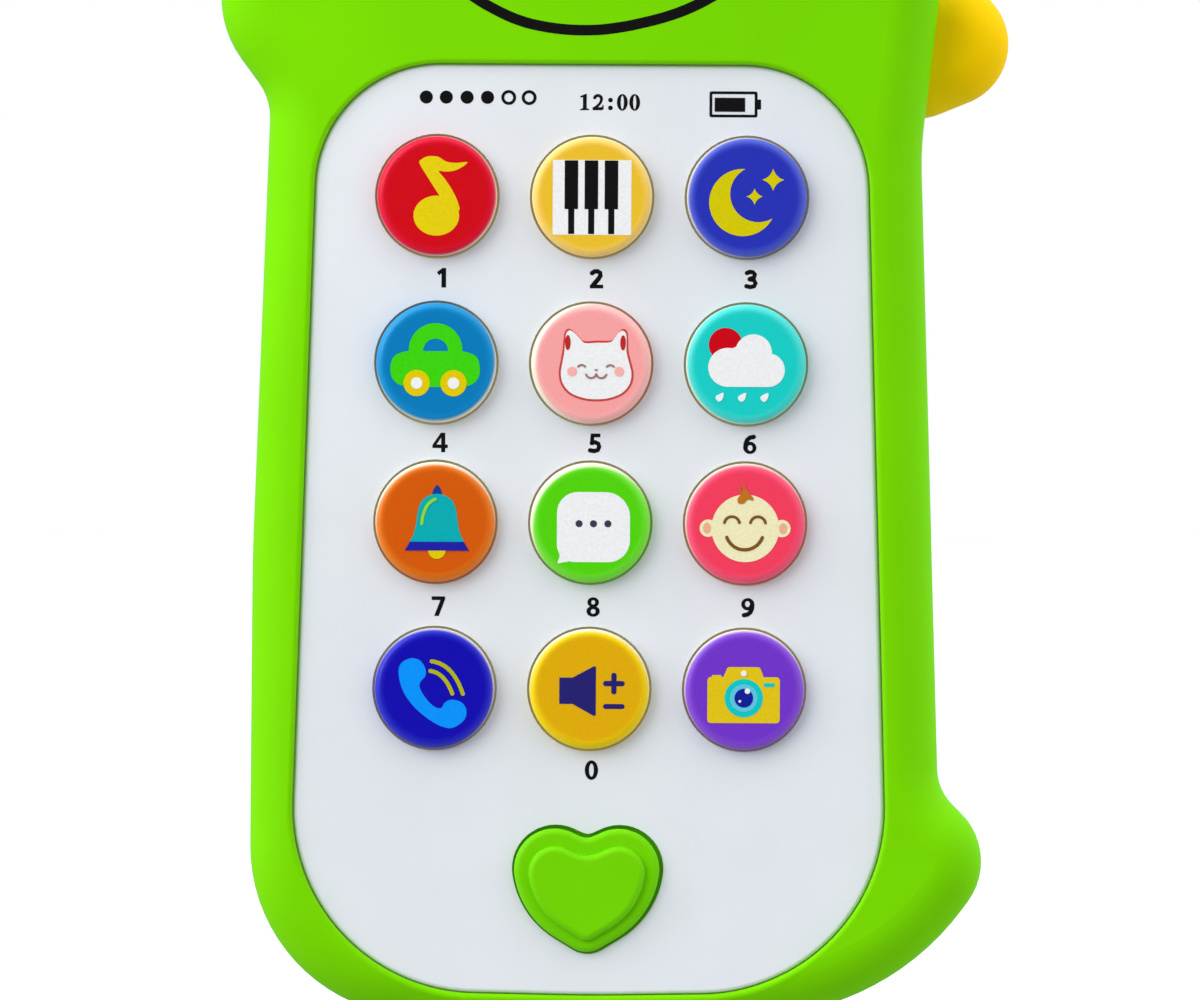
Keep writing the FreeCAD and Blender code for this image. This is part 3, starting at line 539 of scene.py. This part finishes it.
def add_plate(form, points, faces, height, material_index):
    """Add a thin closed plate of the given height to a bmesh, standing on z = 0."""
    corners = {}
    added = []
    for face in faces:
        for index in face:
            if index not in corners:
                corners[index] = form.verts.new((points[index].x * MM, points[index].y * MM, 0.0))
        added.append(form.faces.new([corners[index] for index in face]))
    for face in added:
        face.material_index = material_index
    grown = bmesh.ops.extrude_face_region(form, geom=added)
    tops = [item for item in grown["geom"] if isinstance(item, bmesh.types.BMVert)]
    bmesh.ops.translate(form, verts=tops, vec=(0, 0, height))


def place_flat(x, front, z):
    """Matrix that stands a flat drawing up in front of a face: its +Z points at the user."""
    return Matrix.Translation((x, front, z)) @ Matrix.Rotation(math.pi / 2, 4, "X")


def printed(name, place, layers, body):
    """One printed piece made of stacked ink layers, each (ink, add loops, cut loops)."""
    form = bmesh.new()
    mesh = bpy.data.meshes.new(name)
    for number, (colour, add, cut) in enumerate(layers):
        points, faces = flat_region(add, cut)
        add_plate(form, points, faces, INK_STEP * (number + 1), number)
        mesh.materials.append(INKS[colour])
    bmesh.ops.recalc_face_normals(form, faces=form.faces)
    form.to_mesh(mesh)
    form.free()
    mesh.transform(place)
    piece = bpy.data.objects.new(name, mesh)
    bpy.context.scene.collection.objects.link(piece)
    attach(piece, body)


# ---------------------------------------------------------------- the twelve key pictures

def picture_music():
    note = smooth([(0.5, -0.2), (-0.8, 1.8), (-2.1, 3.96), (-1.8, 4.5), (-1.06, 4.85), (0.18, 4.8),
                   (1.24, 4.2), (2.5, 4.05), (3.85, 4.16), (3.3, 3.6), (2.3, 3.1), (1.2, 2.95), (0.3, 3.0),
                   (1.1, 2.0), (1.95, 0.7), (2.6, -0.6), (2.87, -1.9), (1.6, -1.8)])
    return [("yellow", [note, ellipse(0.02, -2.55, 2.85, 2.5)], [])]


def picture_piano():
    black = []
    for x in (-2.6, -0.1, 2.4):
        black.append(rounded_box(x - 0.84, x + 0.84, -1.5, 4.6, 0.08))
        black.append(rounded_box(x - 0.38, x + 0.38, -4.6, -1.4, 0.05))
    return [("white", [rounded_box(-4.92, 4.9, -4.7, 4.65, 0.1)], []), ("black", black, [])]


def picture_moon():
    return [("moon_yellow", [circle(-0.68, -0.58, 4.2, 72)], [circle(1.25, 0.49, 3.51, 72)]),
            ("moon_yellow", [star(3.1, 2.28, 1.4), star(0.79, 0.18, 1.05)], [])]


def picture_car():
    body = smooth([(-5.6, -1.0), (-5.2, 0.45), (-3.9, 1.1), (-2.0, 1.25), (0.0, 1.3), (2.0, 1.25),
                   (3.9, 1.1), (5.2, 0.45), (5.6, -1.0), (5.3, -2.3), (4.2, -3.1), (2.0, -3.25), (0.0, -3.3),
                   (-2.0, -3.25), (-4.2, -3.1), (-5.3, -2.3)])
    roof = arc(0.05, 1.35, 3.35, 0, 180, 32) + [(-3.3, 0.5), (3.4, 0.5)]
    window = arc(0.05, 1.2, 1.55, 0, 180, 24)
    wheels, hubs = ([circle(x, -2.8, radius) for x in (-2.3, 2.3)] for radius in (1.64, 0.72))
    return [("car_green", [body, roof], [window]), ("wheel_yellow", wheels, []), ("white", hubs, [])]


def cat_face(inset):
    """The cat's head; inset draws it smaller, for the white inside its outline."""
    outline = [(-1.45, 2.85), (-2.2, 3.5), (-2.95, 4.2), (-3.45, 4.38), (-3.85, 4.0), (-4.02, 3.0),
               (-4.15, 1.6), (-4.4, 0.2), (-4.6, -1.2), (-4.3, -2.6), (-3.3, -3.8), (-1.6, -4.5),
               (0.1, -4.68), (1.8, -4.5), (3.5, -3.8), (4.5, -2.6), (4.75, -1.2), (4.45, 0.2), (4.1, 1.6),
               (4.05, 3.0), (3.95, 4.0), (3.55, 4.38), (3.05, 4.2), (2.5, 3.5), (1.9, 2.95), (0.2, 2.92)]
    centre = Vector((0.03, -0.6))
    points = []
    for point in outline:
        away = Vector(point) - centre
        points.append(tuple(centre + away * (1 - inset / away.length)))
    return smooth(points, 4)


def picture_cat():
    ears = [ellipse(x, 2.65, 0.35, 0.95) for x in (-3.48, 3.42)]
    cheeks = [circle(x, -0.95, 0.6) for x in (-2.95, 2.95)]
    eyes = [arc(x, -0.72, 0.58, 40, 140, 10) for x in (-1.75, 1.85)]
    mouth = [arc(-0.56, -1.1, 0.66, 200, 345, 12), arc(0.72, -1.1, 0.66, 195, 340, 12)]
    lines = [stroke(line, 0.24) for line in eyes + mouth] + [ellipse(0.08, -0.75, 0.2, 0.12)]
    return [("outline_red", [cat_face(0.0)], []), ("white", [cat_face(0.27)], []), ("ear_red", ears, []),
            ("cheek_pink", cheeks, []), ("line_brown", lines, [])]


def picture_weather():
    cloud = [circle(-2.41, -0.43, 2.43), circle(2.62, -0.76, 2.1), circle(0.8, 1.4, 2.3),
             circle(-0.9, 0.3, 1.9), rounded_box(-2.41, 2.62, -2.86, 0.4, 0.02)]
    drops = []
    for x in (-3.4, -0.6, 2.2):
        drops.append(smooth([(x - 0.4, -4.5), (x - 0.5, -4.12), (x - 0.05, -3.8), (x + 0.45, -3.62),
                             (x + 0.48, -4.0), (x + 0.28, -4.5), (x - 0.08, -4.72)]))
    return [("red", [circle(-2.7, 2.4, 2.1)], []), ("white", cloud, []), ("white", drops, [])]


def picture_bell():
    dome = smooth([(0.15, 3.85), (-0.9, 3.6), (-1.8, 2.9), (-2.25, 1.7), (-2.45, 0.2), (-2.8, -1.3),
                   (-3.15, -2.2), (-1.5, -2.35), (0.15, -2.4), (1.8, -2.35), (3.45, -2.2), (3.1, -1.3),
                   (2.75, 0.2), (2.55, 1.7), (2.1, 2.9), (1.2, 3.6)])
    brim = [(-3.85, -3.25), (4.15, -3.25), (3.5, -2.15), (-3.2, -2.15)]
    knob = smooth([(0.15, 4.95), (-0.3, 4.4), (-0.45, 3.7), (0.15, 3.55), (0.75, 3.7), (0.6, 4.4)])
    clapper = arc(0.15, -3.2, 1.1, 180, 360, 20)
    shine = stroke(bend((-0.1, 3.15), (-1.55, 2.6), (-1.75, 0.1)), 0.38)
    return [("knob_blue", [knob], []), ("teal", [dome], []), ("wheel_yellow", [clapper], []),
            ("brim_blue", [brim], []), ("lime", [shine], [])]


def picture_chat():
    bubble = rounded_box(-4.46, 4.67, -4.45, 4.3, (2.2, 2.7, 3.1, 2.6))
    tail = smooth([(-4.25, -2.6), (-4.1, -3.7), (-4.3, -4.3), (-4.3, -4.62), (-3.7, -4.5), (-2.9, -4.3),
                   (-2.6, -3.4)])
    dots = [circle(x, 0.35, 0.44) for x in (-1.7, 0.1, 1.9)]
    return [("white", [bubble, tail], []), ("dot_grey", dots, [])]


def picture_baby():
    head = [circle(-0.07, -0.4, 4.22, 72), circle(-4.7, -0.4, 1.08), circle(4.5, -0.4, 1.08)]
    lobes = [ellipse(x, -0.4, 0.5, 0.68) for x in (-4.85, 4.65)]
    eyes = [stroke(arc(x, 0.1, 0.96, 12, 168, 16), 0.35) for x in (-1.75, 1.5)]
    smile = stroke(arc(-0.16, -0.72, 2.36, 200, 340), 0.42)
    curl = smooth([(-0.95, 2.75), (-1.0, 3.4), (-0.45, 4.1), (-0.3, 5.2), (0.1, 4.3), (0.75, 3.6),
                   (0.9, 3.1), (0.2, 3.2), (-0.3, 2.7)])
    strand = stroke(bend((-0.9, 4.6), (-0.6, 3.9), (-0.1, 3.6)), 0.2)
    return [("skin", head, []), ("peach", lobes, []), ("line_dark", eyes + [smile], []),
            ("hair", [curl, strand], [])]


def picture_call():
    handset = smooth([(-4.39, 2.19), (-4.04, 3.26), (-2.9, 3.86), (-1.73, 3.61), (-1.03, 2.55),
                      (-1.05, 1.66), (-1.66, 0.9), (-1.73, 0.25), (-1.24, -0.74), (-0.35, -1.8),
                      (0.46, -2.32), (1.06, -2.28), (1.35, -1.7), (2.23, -1.27), (3.47, -1.59),
                      (4.11, -2.58), (3.89, -3.72), (2.76, -4.64), (1.7, -4.81), (0.1, -4.18),
                      (-1.84, -2.76), (-3.26, -1.17), (-4.07, 0.42)], 4)
    rings = [stroke(bend((-0.25, 3.5), (2.4, 3.2), (3.65, -0.53)), 0.5),
             stroke(bend((-0.42, 2.3), (1.4, 2.05), (2.34, -0.53)), 0.5)]
    return [("handset_blue", [handset], []), ("ring_yellow", rings, [])]


def picture_volume():
    speaker = [(-3.75, -1.6), (-2.1, -1.6), (0.55, -3.08), (0.82, -3.03), (0.82, 3.07), (0.55, 3.12),
               (-2.1, 1.69), (-3.75, 1.69)]
    plus = [rounded_box(1.72, 4.42, 0.64, 1.3, 0.32), rounded_box(2.74, 3.4, -0.38, 2.32, 0.32)]
    minus = rounded_box(1.72, 4.42, -2.2, -1.58, 0.3)
    return [("navy", [speaker] + plus + [minus], [])]


def picture_camera():
    case = [rounded_box(-4.66, 4.4, -3.95, 1.8, 0.45), rounded_box(-4.1, -2.9, 1.5, 2.05, 0.1),
            [(-2.75, 1.6), (2.45, 1.6), (1.95, 2.9), (1.75, 3.05), (-2.0, 3.05), (-2.2, 2.9)]]
    glints = [circle(0.35, 0.05, 0.34), circle(-0.6, -1.22, 0.17), circle(-0.12, 2.25, 0.36)]
    bar = [rounded_box(2.35, 3.75, 0.58, 1.08, 0.2)]
    return [("camera_yellow", case, []), ("lens_teal", [circle(-0.1, -0.83, 2.4)] + bar, []),
            ("lens_blue", [circle(-0.1, -0.83, 1.72)], []), ("lens_navy", [circle(-0.1, -0.83, 1.17)], []),
            ("white", glints, [])]


PICTURES = {
    "music": picture_music, "piano": picture_piano, "moon": picture_moon, "car": picture_car,
    "cat": picture_cat, "weather": picture_weather, "bell": picture_bell, "chat": picture_chat,
    "baby": picture_baby, "call": picture_call, "volume": picture_volume, "camera": picture_camera,
}


def print_pictures():
    for key in KEYS:
        x, z = print_centre(key)
        place = place_flat(x, front_of("button_" + key), z)
        printed("picture_" + key, place, PICTURES[key](), key + "_key")


# ---------------------------------------------------------------- printing on the panel and the head

# For each row of three keys: how far right of its key and how far below it a digit sits, in mm
DIGIT_PLACES = ((0.6, 10.2), (0.52, 9.96), (0.42, 10.54), (0.32, 10.15))
# The key that each digit from 0 to 9 sits under
DIGIT_KEYS = ("volume", "music", "piano", "moon", "car", "cat", "weather", "bell", "chat", "baby")
DIGIT_HEIGHT = 2.44
# Where the drawing of the smile has the middle of the eyes, in mm
EYE_ROW = 79.5


def digit_six():
    arm = stroke([(-0.54, 0.8), (-0.5, 1.3), (-0.3, 1.78), (0.05, 2.05), (0.5, 2.14)], 0.56)
    return [ellipse(0.02, 0.77, 0.82, 0.77), arm], [ellipse(0.06, 0.74, 0.31, 0.37)]


def digit_nine():
    """The six, turned half round."""
    add, cut = digit_six()
    return tuple([[(-x, DIGIT_HEIGHT - y) for x, y in loop] for loop in loops] for loops in (add, cut))


def digit_loops():
    """Bold plain digits 0 to 9, each (add loops, cut loops), standing on y = 0 and centred on x = 0."""
    zero = [ellipse(0, 1.22, 0.83, 1.22)], [ellipse(0, 1.22, 0.3, 0.82)]
    one = [[(-0.02, 0), (0.55, 0), (0.55, 2.44), (0.1, 2.44), (-0.6, 1.92), (-0.34, 1.52),
            (-0.02, 1.78)]], []
    two = [stroke([(-0.55, 1.9), (-0.2, 2.13), (0.15, 2.13), (0.46, 1.93), (0.5, 1.6), (0.25, 1.2),
                   (-0.4, 0.42)], 0.58),
           rounded_box(-0.82, 0.84, 0, 0.46, 0.02)], []
    three = [stroke([(-0.55, 2.02), (-0.2, 2.17), (0.2, 2.12), (0.45, 1.85), (0.35, 1.48),
                     (-0.2, 1.27)], 0.56),
             stroke([(-0.2, 1.25), (0.35, 1.13), (0.54, 0.75), (0.35, 0.38), (-0.1, 0.27),
                     (-0.6, 0.38)], 0.56)], []
    four = [[(0.14, 0), (0.64, 0), (0.64, 2.44), (0.1, 2.44), (-0.95, 0.92), (-0.95, 0.52), (0.14, 0.52)],
            rounded_box(0.2, 0.96, 0.52, 0.96, 0.02)], [[(-0.46, 0.96), (0.14, 0.96), (0.14, 1.84)]]
    five = [rounded_box(-0.52, 0.68, 1.98, 2.44, 0.02),
            [(-0.62, 1.12), (-0.14, 1.2), (-0.08, 2.2), (-0.55, 2.2)],
            stroke([(-0.38, 1.25), (0.0, 1.36), (0.42, 1.18), (0.54, 0.78), (0.36, 0.38), (-0.1, 0.25),
                    (-0.6, 0.34)], 0.56)], []
    seven = [rounded_box(-0.84, 0.84, 1.98, 2.44, 0.02),
             [(-0.52, 0), (0.06, 0), (0.84, 2.1), (0.3, 2.1)]], []
    eight = ([ellipse(0, 1.81, 0.72, 0.63), ellipse(0, 0.68, 0.83, 0.68)],
             [ellipse(0, 1.8, 0.25, 0.27), ellipse(0, 0.67, 0.31, 0.3)])
    return [zero, one, two, three, four, five, digit_six(), seven, eight, digit_nine()]


def print_digits():
    for digit, (add, cut) in enumerate(digit_loops()):
        key = DIGIT_KEYS[digit]
        right, drop = DIGIT_PLACES[KEYS.index(key) // 3]
        middle = centre_of("button_" + key)
        place = place_flat(middle.x + right * MM, PANEL_FRONT, middle.z - (drop + DIGIT_HEIGHT / 2) * MM)
        printed(f"digit_{digit}", place, [("black", add, cut)], BODY)


def clock_glyphs():
    """12:00 in a bold book face, 2 mm high, with its middle at x = 0 and its foot at y = 0."""
    one = [[(-4.05, 0.0), (-2.95, 0.0), (-2.95, 0.14), (-3.25, 0.24), (-3.25, 2.04), (-3.38, 2.04),
            (-4.05, 1.76), (-4.05, 1.58), (-3.72, 1.62), (-3.72, 0.24), (-4.05, 0.14)]]
    two = [stroke(arc(-1.84, 1.4, 0.44, 160, -20, 14), 0.38),
           stroke(bend((-1.43, 1.28), (-1.48, 0.75), (-2.36, 0.22)), 0.32),
           rounded_box(-2.5, -1.28, 0.0, 0.38, 0.05),
           [(-1.45, 0.1), (-1.14, 0.1), (-1.14, 0.66), (-1.26, 0.66)]]
    dots = [circle(-0.28, 0.3, 0.29, 20), circle(-0.28, 1.28, 0.29, 20)]
    add, cut = one + two + dots, []
    for x in (1.2, 2.75):
        add.append(ellipse(x, 1.0, 0.67, 1.04))
        cut.append(ellipse(x, 1.0, 0.2, 0.85))
    return add, cut


def print_status_row():
    """Signal dots, the clock and a battery outline above the top row of keys."""
    dots = [circle(x, 12.38, 0.82) for x in (-20.8, -18.3, -15.7, -13.15)]
    rings, holes = ([circle(x, 12.38, radius) for x in (-10.5, -7.95)] for radius in (0.93, 0.55))
    place = place_flat(TOP_ROW.x, PANEL_FRONT, TOP_ROW.z)
    printed("signal_dots", place, [("black", dots + rings, holes)], BODY)
    add, cut = clock_glyphs()
    clock = place_flat(TOP_ROW.x + 2.5 * MM, PANEL_FRONT, TOP_ROW.z + 10.85 * MM)
    printed("clock_digits", clock, [("black", add, cut)], BODY)
    outline = [rounded_box(14.6, 20.6, 10.05, 13.3, 0.25), rounded_box(20.5, 21.05, 11.05, 12.3, 0.1)]
    hollow = [rounded_box(14.95, 20.25, 10.4, 12.95, 0.1)]
    charge = [rounded_box(15.25, 19.05, 10.75, 12.5, 0.05)]
    layers = [("black", outline, hollow), ("black", charge, [])]
    printed("battery_outline", place, layers, BODY)


def print_smile():
    """The dinosaur's smile, one bold line across the chin, placed from the middle of the eyes."""
    line = smooth_path([(-18.9, 70.6), (-17.6, 68.6), (-16.0, 67.0), (-14.1, 65.65), (-11.7, 64.34),
                        (-9.5, 63.38), (-7.0, 62.68), (-3.5, 62.18), (0.2, 62.12), (3.5, 62.5),
                        (6.5, 63.13), (9.2, 63.86), (11.9, 64.86), (14.4, 66.12), (16.5, 67.45),
                        (18.3, 69.0), (19.6, 70.9)])
    points = [(x, z - EYE_ROW) for x, z in line]
    place = place_flat(HEAD_EYES.x, SLEEVE_FRONT, HEAD_EYES.z)
    printed("smile", place, [("black", [stroke(points, 1.32)], [])], BODY)


def print_eye_glints():
    """A large and a small white glint on each pupil."""
    low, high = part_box("eye_pupils")
    pupil_radius = (high.z - low.z) / 2
    glints = [ellipse(-1.1, 1.2, 0.95, 1.1, 20), circle(1.2, -1.3, 0.42)]
    for side, x in (("left", pupil_radius - high.x), ("right", high.x - pupil_radius)):
        place = place_flat(x, low.y, low.z + pupil_radius)
        printed("eye_glint_" + side, place, [("white", glints, [])], BODY)


# ---------------------------------------------------------------- stage, lights and camera

CAMERA_DISTANCE = 2.0
CAMERA_LENS = 480.0
CAMERA_ROLL = 0.33
# From the middle of the top row of keys to the point that the camera looks at
CAMERA_RIGHT = 1.2 * MM
CAMERA_DOWN = 37.87 * MM
FLOOR_RADIUS = 25.0
# The light tent: brightness of its walls, and of the opening on the user's side, which reaches
# full darkness TENT_OPENING degrees from straight in front and ends at TENT_EDGE degrees
TENT_WALL = 1.34
TENT_DARK = 0.2
TENT_OPENING = 25
TENT_EDGE = 65
# Factors on that: from the left to the right, from below to above, and straight behind the phone
TENT_SIDES = (0.88, 1.48)
TENT_HEIGHTS = (0.45, 1.1)
TENT_REAR = 0.62
# The key light: strength, then spread, elevation and azimuth in degrees, azimuth 0 being in front of
# the phone and positive to its right
KEY_STRENGTH = 1.95
KEY_SPREAD = 50
KEY_ELEVATION = 26
KEY_AZIMUTH = -54
# The fill light: watts, width and height, and where it is and looks, with Y from the sleeve's front
FILL_POWER = 0.0048
FILL_SIZE = (36 * MM, 90 * MM)
FILL_PLACE = (-58 * MM, -38 * MM, 128 * MM)
FILL_AIM = (-48 * MM, 0.0, 122 * MM)


def make_camera():
    """Straight on, two metres in front of the panel, rolled by the small lean of the phone."""
    data = bpy.data.cameras.new("camera")
    data.lens = CAMERA_LENS
    data.sensor_width = 36.0
    data.clip_start = 0.05
    data.clip_end = 100.0
    camera = bpy.data.objects.new("camera", data)
    aim = Vector((TOP_ROW.x + CAMERA_RIGHT, PANEL_FRONT, TOP_ROW.z - CAMERA_DOWN))
    place = Matrix.Translation(aim - Vector((0, CAMERA_DISTANCE, 0)))
    camera.matrix_world = (place @ Matrix.Rotation(math.pi / 2, 4, "X")
                           @ Matrix.Rotation(math.radians(CAMERA_ROLL), 4, "Z"))
    bpy.context.scene.collection.objects.link(camera)
    bpy.context.scene.camera = camera


def make_floor():
    """Plain pale floor, wide enough to reach the horizon."""
    form = bmesh.new()
    bmesh.ops.create_circle(form, cap_ends=True, radius=FLOOR_RADIUS, segments=96)
    mesh = bpy.data.meshes.new("floor")
    form.to_mesh(mesh)
    form.free()
    floor = bpy.data.objects.new("floor", mesh)
    floor.location.z = cad_box[0][2] - 0.05 * MM
    shader = Shader("floor_paper", 0.9, specular=0.05)
    shader.colour(shader.mottled(srgb(228, 228, 228), 0.4, 0.004))
    mesh.materials.append(shader.material)
    bpy.context.scene.collection.objects.link(floor)
    # The tent lights the undersides, so the floor's own bounce is left out
    floor.visible_diffuse = False
    floor.visible_glossy = False


def add_key_light():
    """A broad soft light from far away, to the front and left of the phone."""
    light = bpy.data.lights.new("key_light", "SUN")
    light.energy = KEY_STRENGTH
    light.angle = math.radians(KEY_SPREAD)
    lamp = bpy.data.objects.new("key_light", light)
    up, around = math.radians(KEY_ELEVATION), math.radians(KEY_AZIMUTH)
    toward = Vector((math.sin(around) * math.cos(up), -math.cos(around) * math.cos(up), math.sin(up)))
    lamp.rotation_euler = toward.to_track_quat("Z", "Y").to_euler()
    bpy.context.scene.collection.objects.link(lamp)


def add_fill_light():
    """A small soft box close to the left of the head, seen only in the light that it gives."""
    light = bpy.data.lights.new("fill_light", "AREA")
    light.shape = "RECTANGLE"
    light.size, light.size_y = FILL_SIZE
    light.energy = FILL_POWER
    lamp = bpy.data.objects.new("fill_light", light)
    lamp.location = Vector((0, SLEEVE_FRONT, 0)) + Vector(FILL_PLACE)
    toward = Vector(FILL_PLACE) - Vector(FILL_AIM)
    lamp.rotation_euler = toward.to_track_quat("Z", "Y").to_euler()
    lamp.visible_camera = False
    lamp.visible_glossy = False
    bpy.context.scene.collection.objects.link(lamp)


def ramp(tree, value, from_low, from_high, to_low, to_high, smooth=False):
    """The value, taken from one range to the other."""
    node = tree.nodes.new("ShaderNodeMapRange")
    if smooth:
        node.interpolation_type = "SMOOTHSTEP"
    limits = {"From Min": from_low, "From Max": from_high, "To Min": to_low, "To Max": to_high}
    for name, limit in limits.items():
        node.inputs[name].default_value = limit
    tree.links.new(value, node.inputs["Value"])
    return node.outputs["Result"]


def times(tree, first, second):
    """The product of two values."""
    node = tree.nodes.new("ShaderNodeMath")
    node.operation = "MULTIPLY"
    tree.links.new(first, node.inputs[0])
    tree.links.new(second, node.inputs[1])
    return node.outputs["Value"]


def make_world():
    """A white light tent: open on the user's side, dimmer below, seen as a plain white backdrop."""
    world = bpy.data.worlds.new("studio")
    world.use_nodes = True
    tree = world.node_tree
    axes = tree.nodes.new("ShaderNodeSeparateXYZ")
    tree.links.new(tree.nodes.new("ShaderNodeTexCoord").outputs["Generated"], axes.inputs["Vector"])
    edge, opening = (-math.cos(math.radians(angle)) for angle in (TENT_EDGE, TENT_OPENING))
    front = ramp(tree, axes.outputs["Y"], edge, opening, TENT_WALL, TENT_DARK, smooth=True)
    sides = ramp(tree, axes.outputs["X"], -1.0, 1.0, *TENT_SIDES)
    height = ramp(tree, axes.outputs["Z"], -0.8, 0.8, *TENT_HEIGHTS)
    rear = ramp(tree, axes.outputs["Y"], 0.0, 0.7, 1.0, TENT_REAR)
    tent = tree.nodes["Background"]
    tent.inputs["Color"].default_value = (1, 1, 1, 1)
    strength = times(tree, times(tree, front, sides), times(tree, height, rear))
    tree.links.new(strength, tent.inputs["Strength"])
    backdrop = tree.nodes.new("ShaderNodeBackground")
    backdrop.inputs["Color"].default_value = (1, 1, 1, 1)
    either = tree.nodes.new("ShaderNodeMixShader")
    tree.links.new(tree.nodes.new("ShaderNodeLightPath").outputs["Is Camera Ray"], either.inputs[0])
    tree.links.new(tent.outputs["Background"], either.inputs[1])
    tree.links.new(backdrop.outputs["Background"], either.inputs[2])
    tree.links.new(either.outputs["Shader"], tree.nodes["World Output"].inputs["Surface"])
    bpy.context.scene.world = world


def make_studio():
    make_floor()
    make_world()
    add_key_light()
    add_fill_light()
    bpy.context.scene.view_settings.view_transform = "Standard"
    bpy.context.scene.view_settings.look = "None"


make_camera()
paint_sleeve_and_shells()
paint_insides()
paint_keys()
print_pictures()
print_digits()
print_status_row()
print_smile()
print_eye_glints()
make_studio()
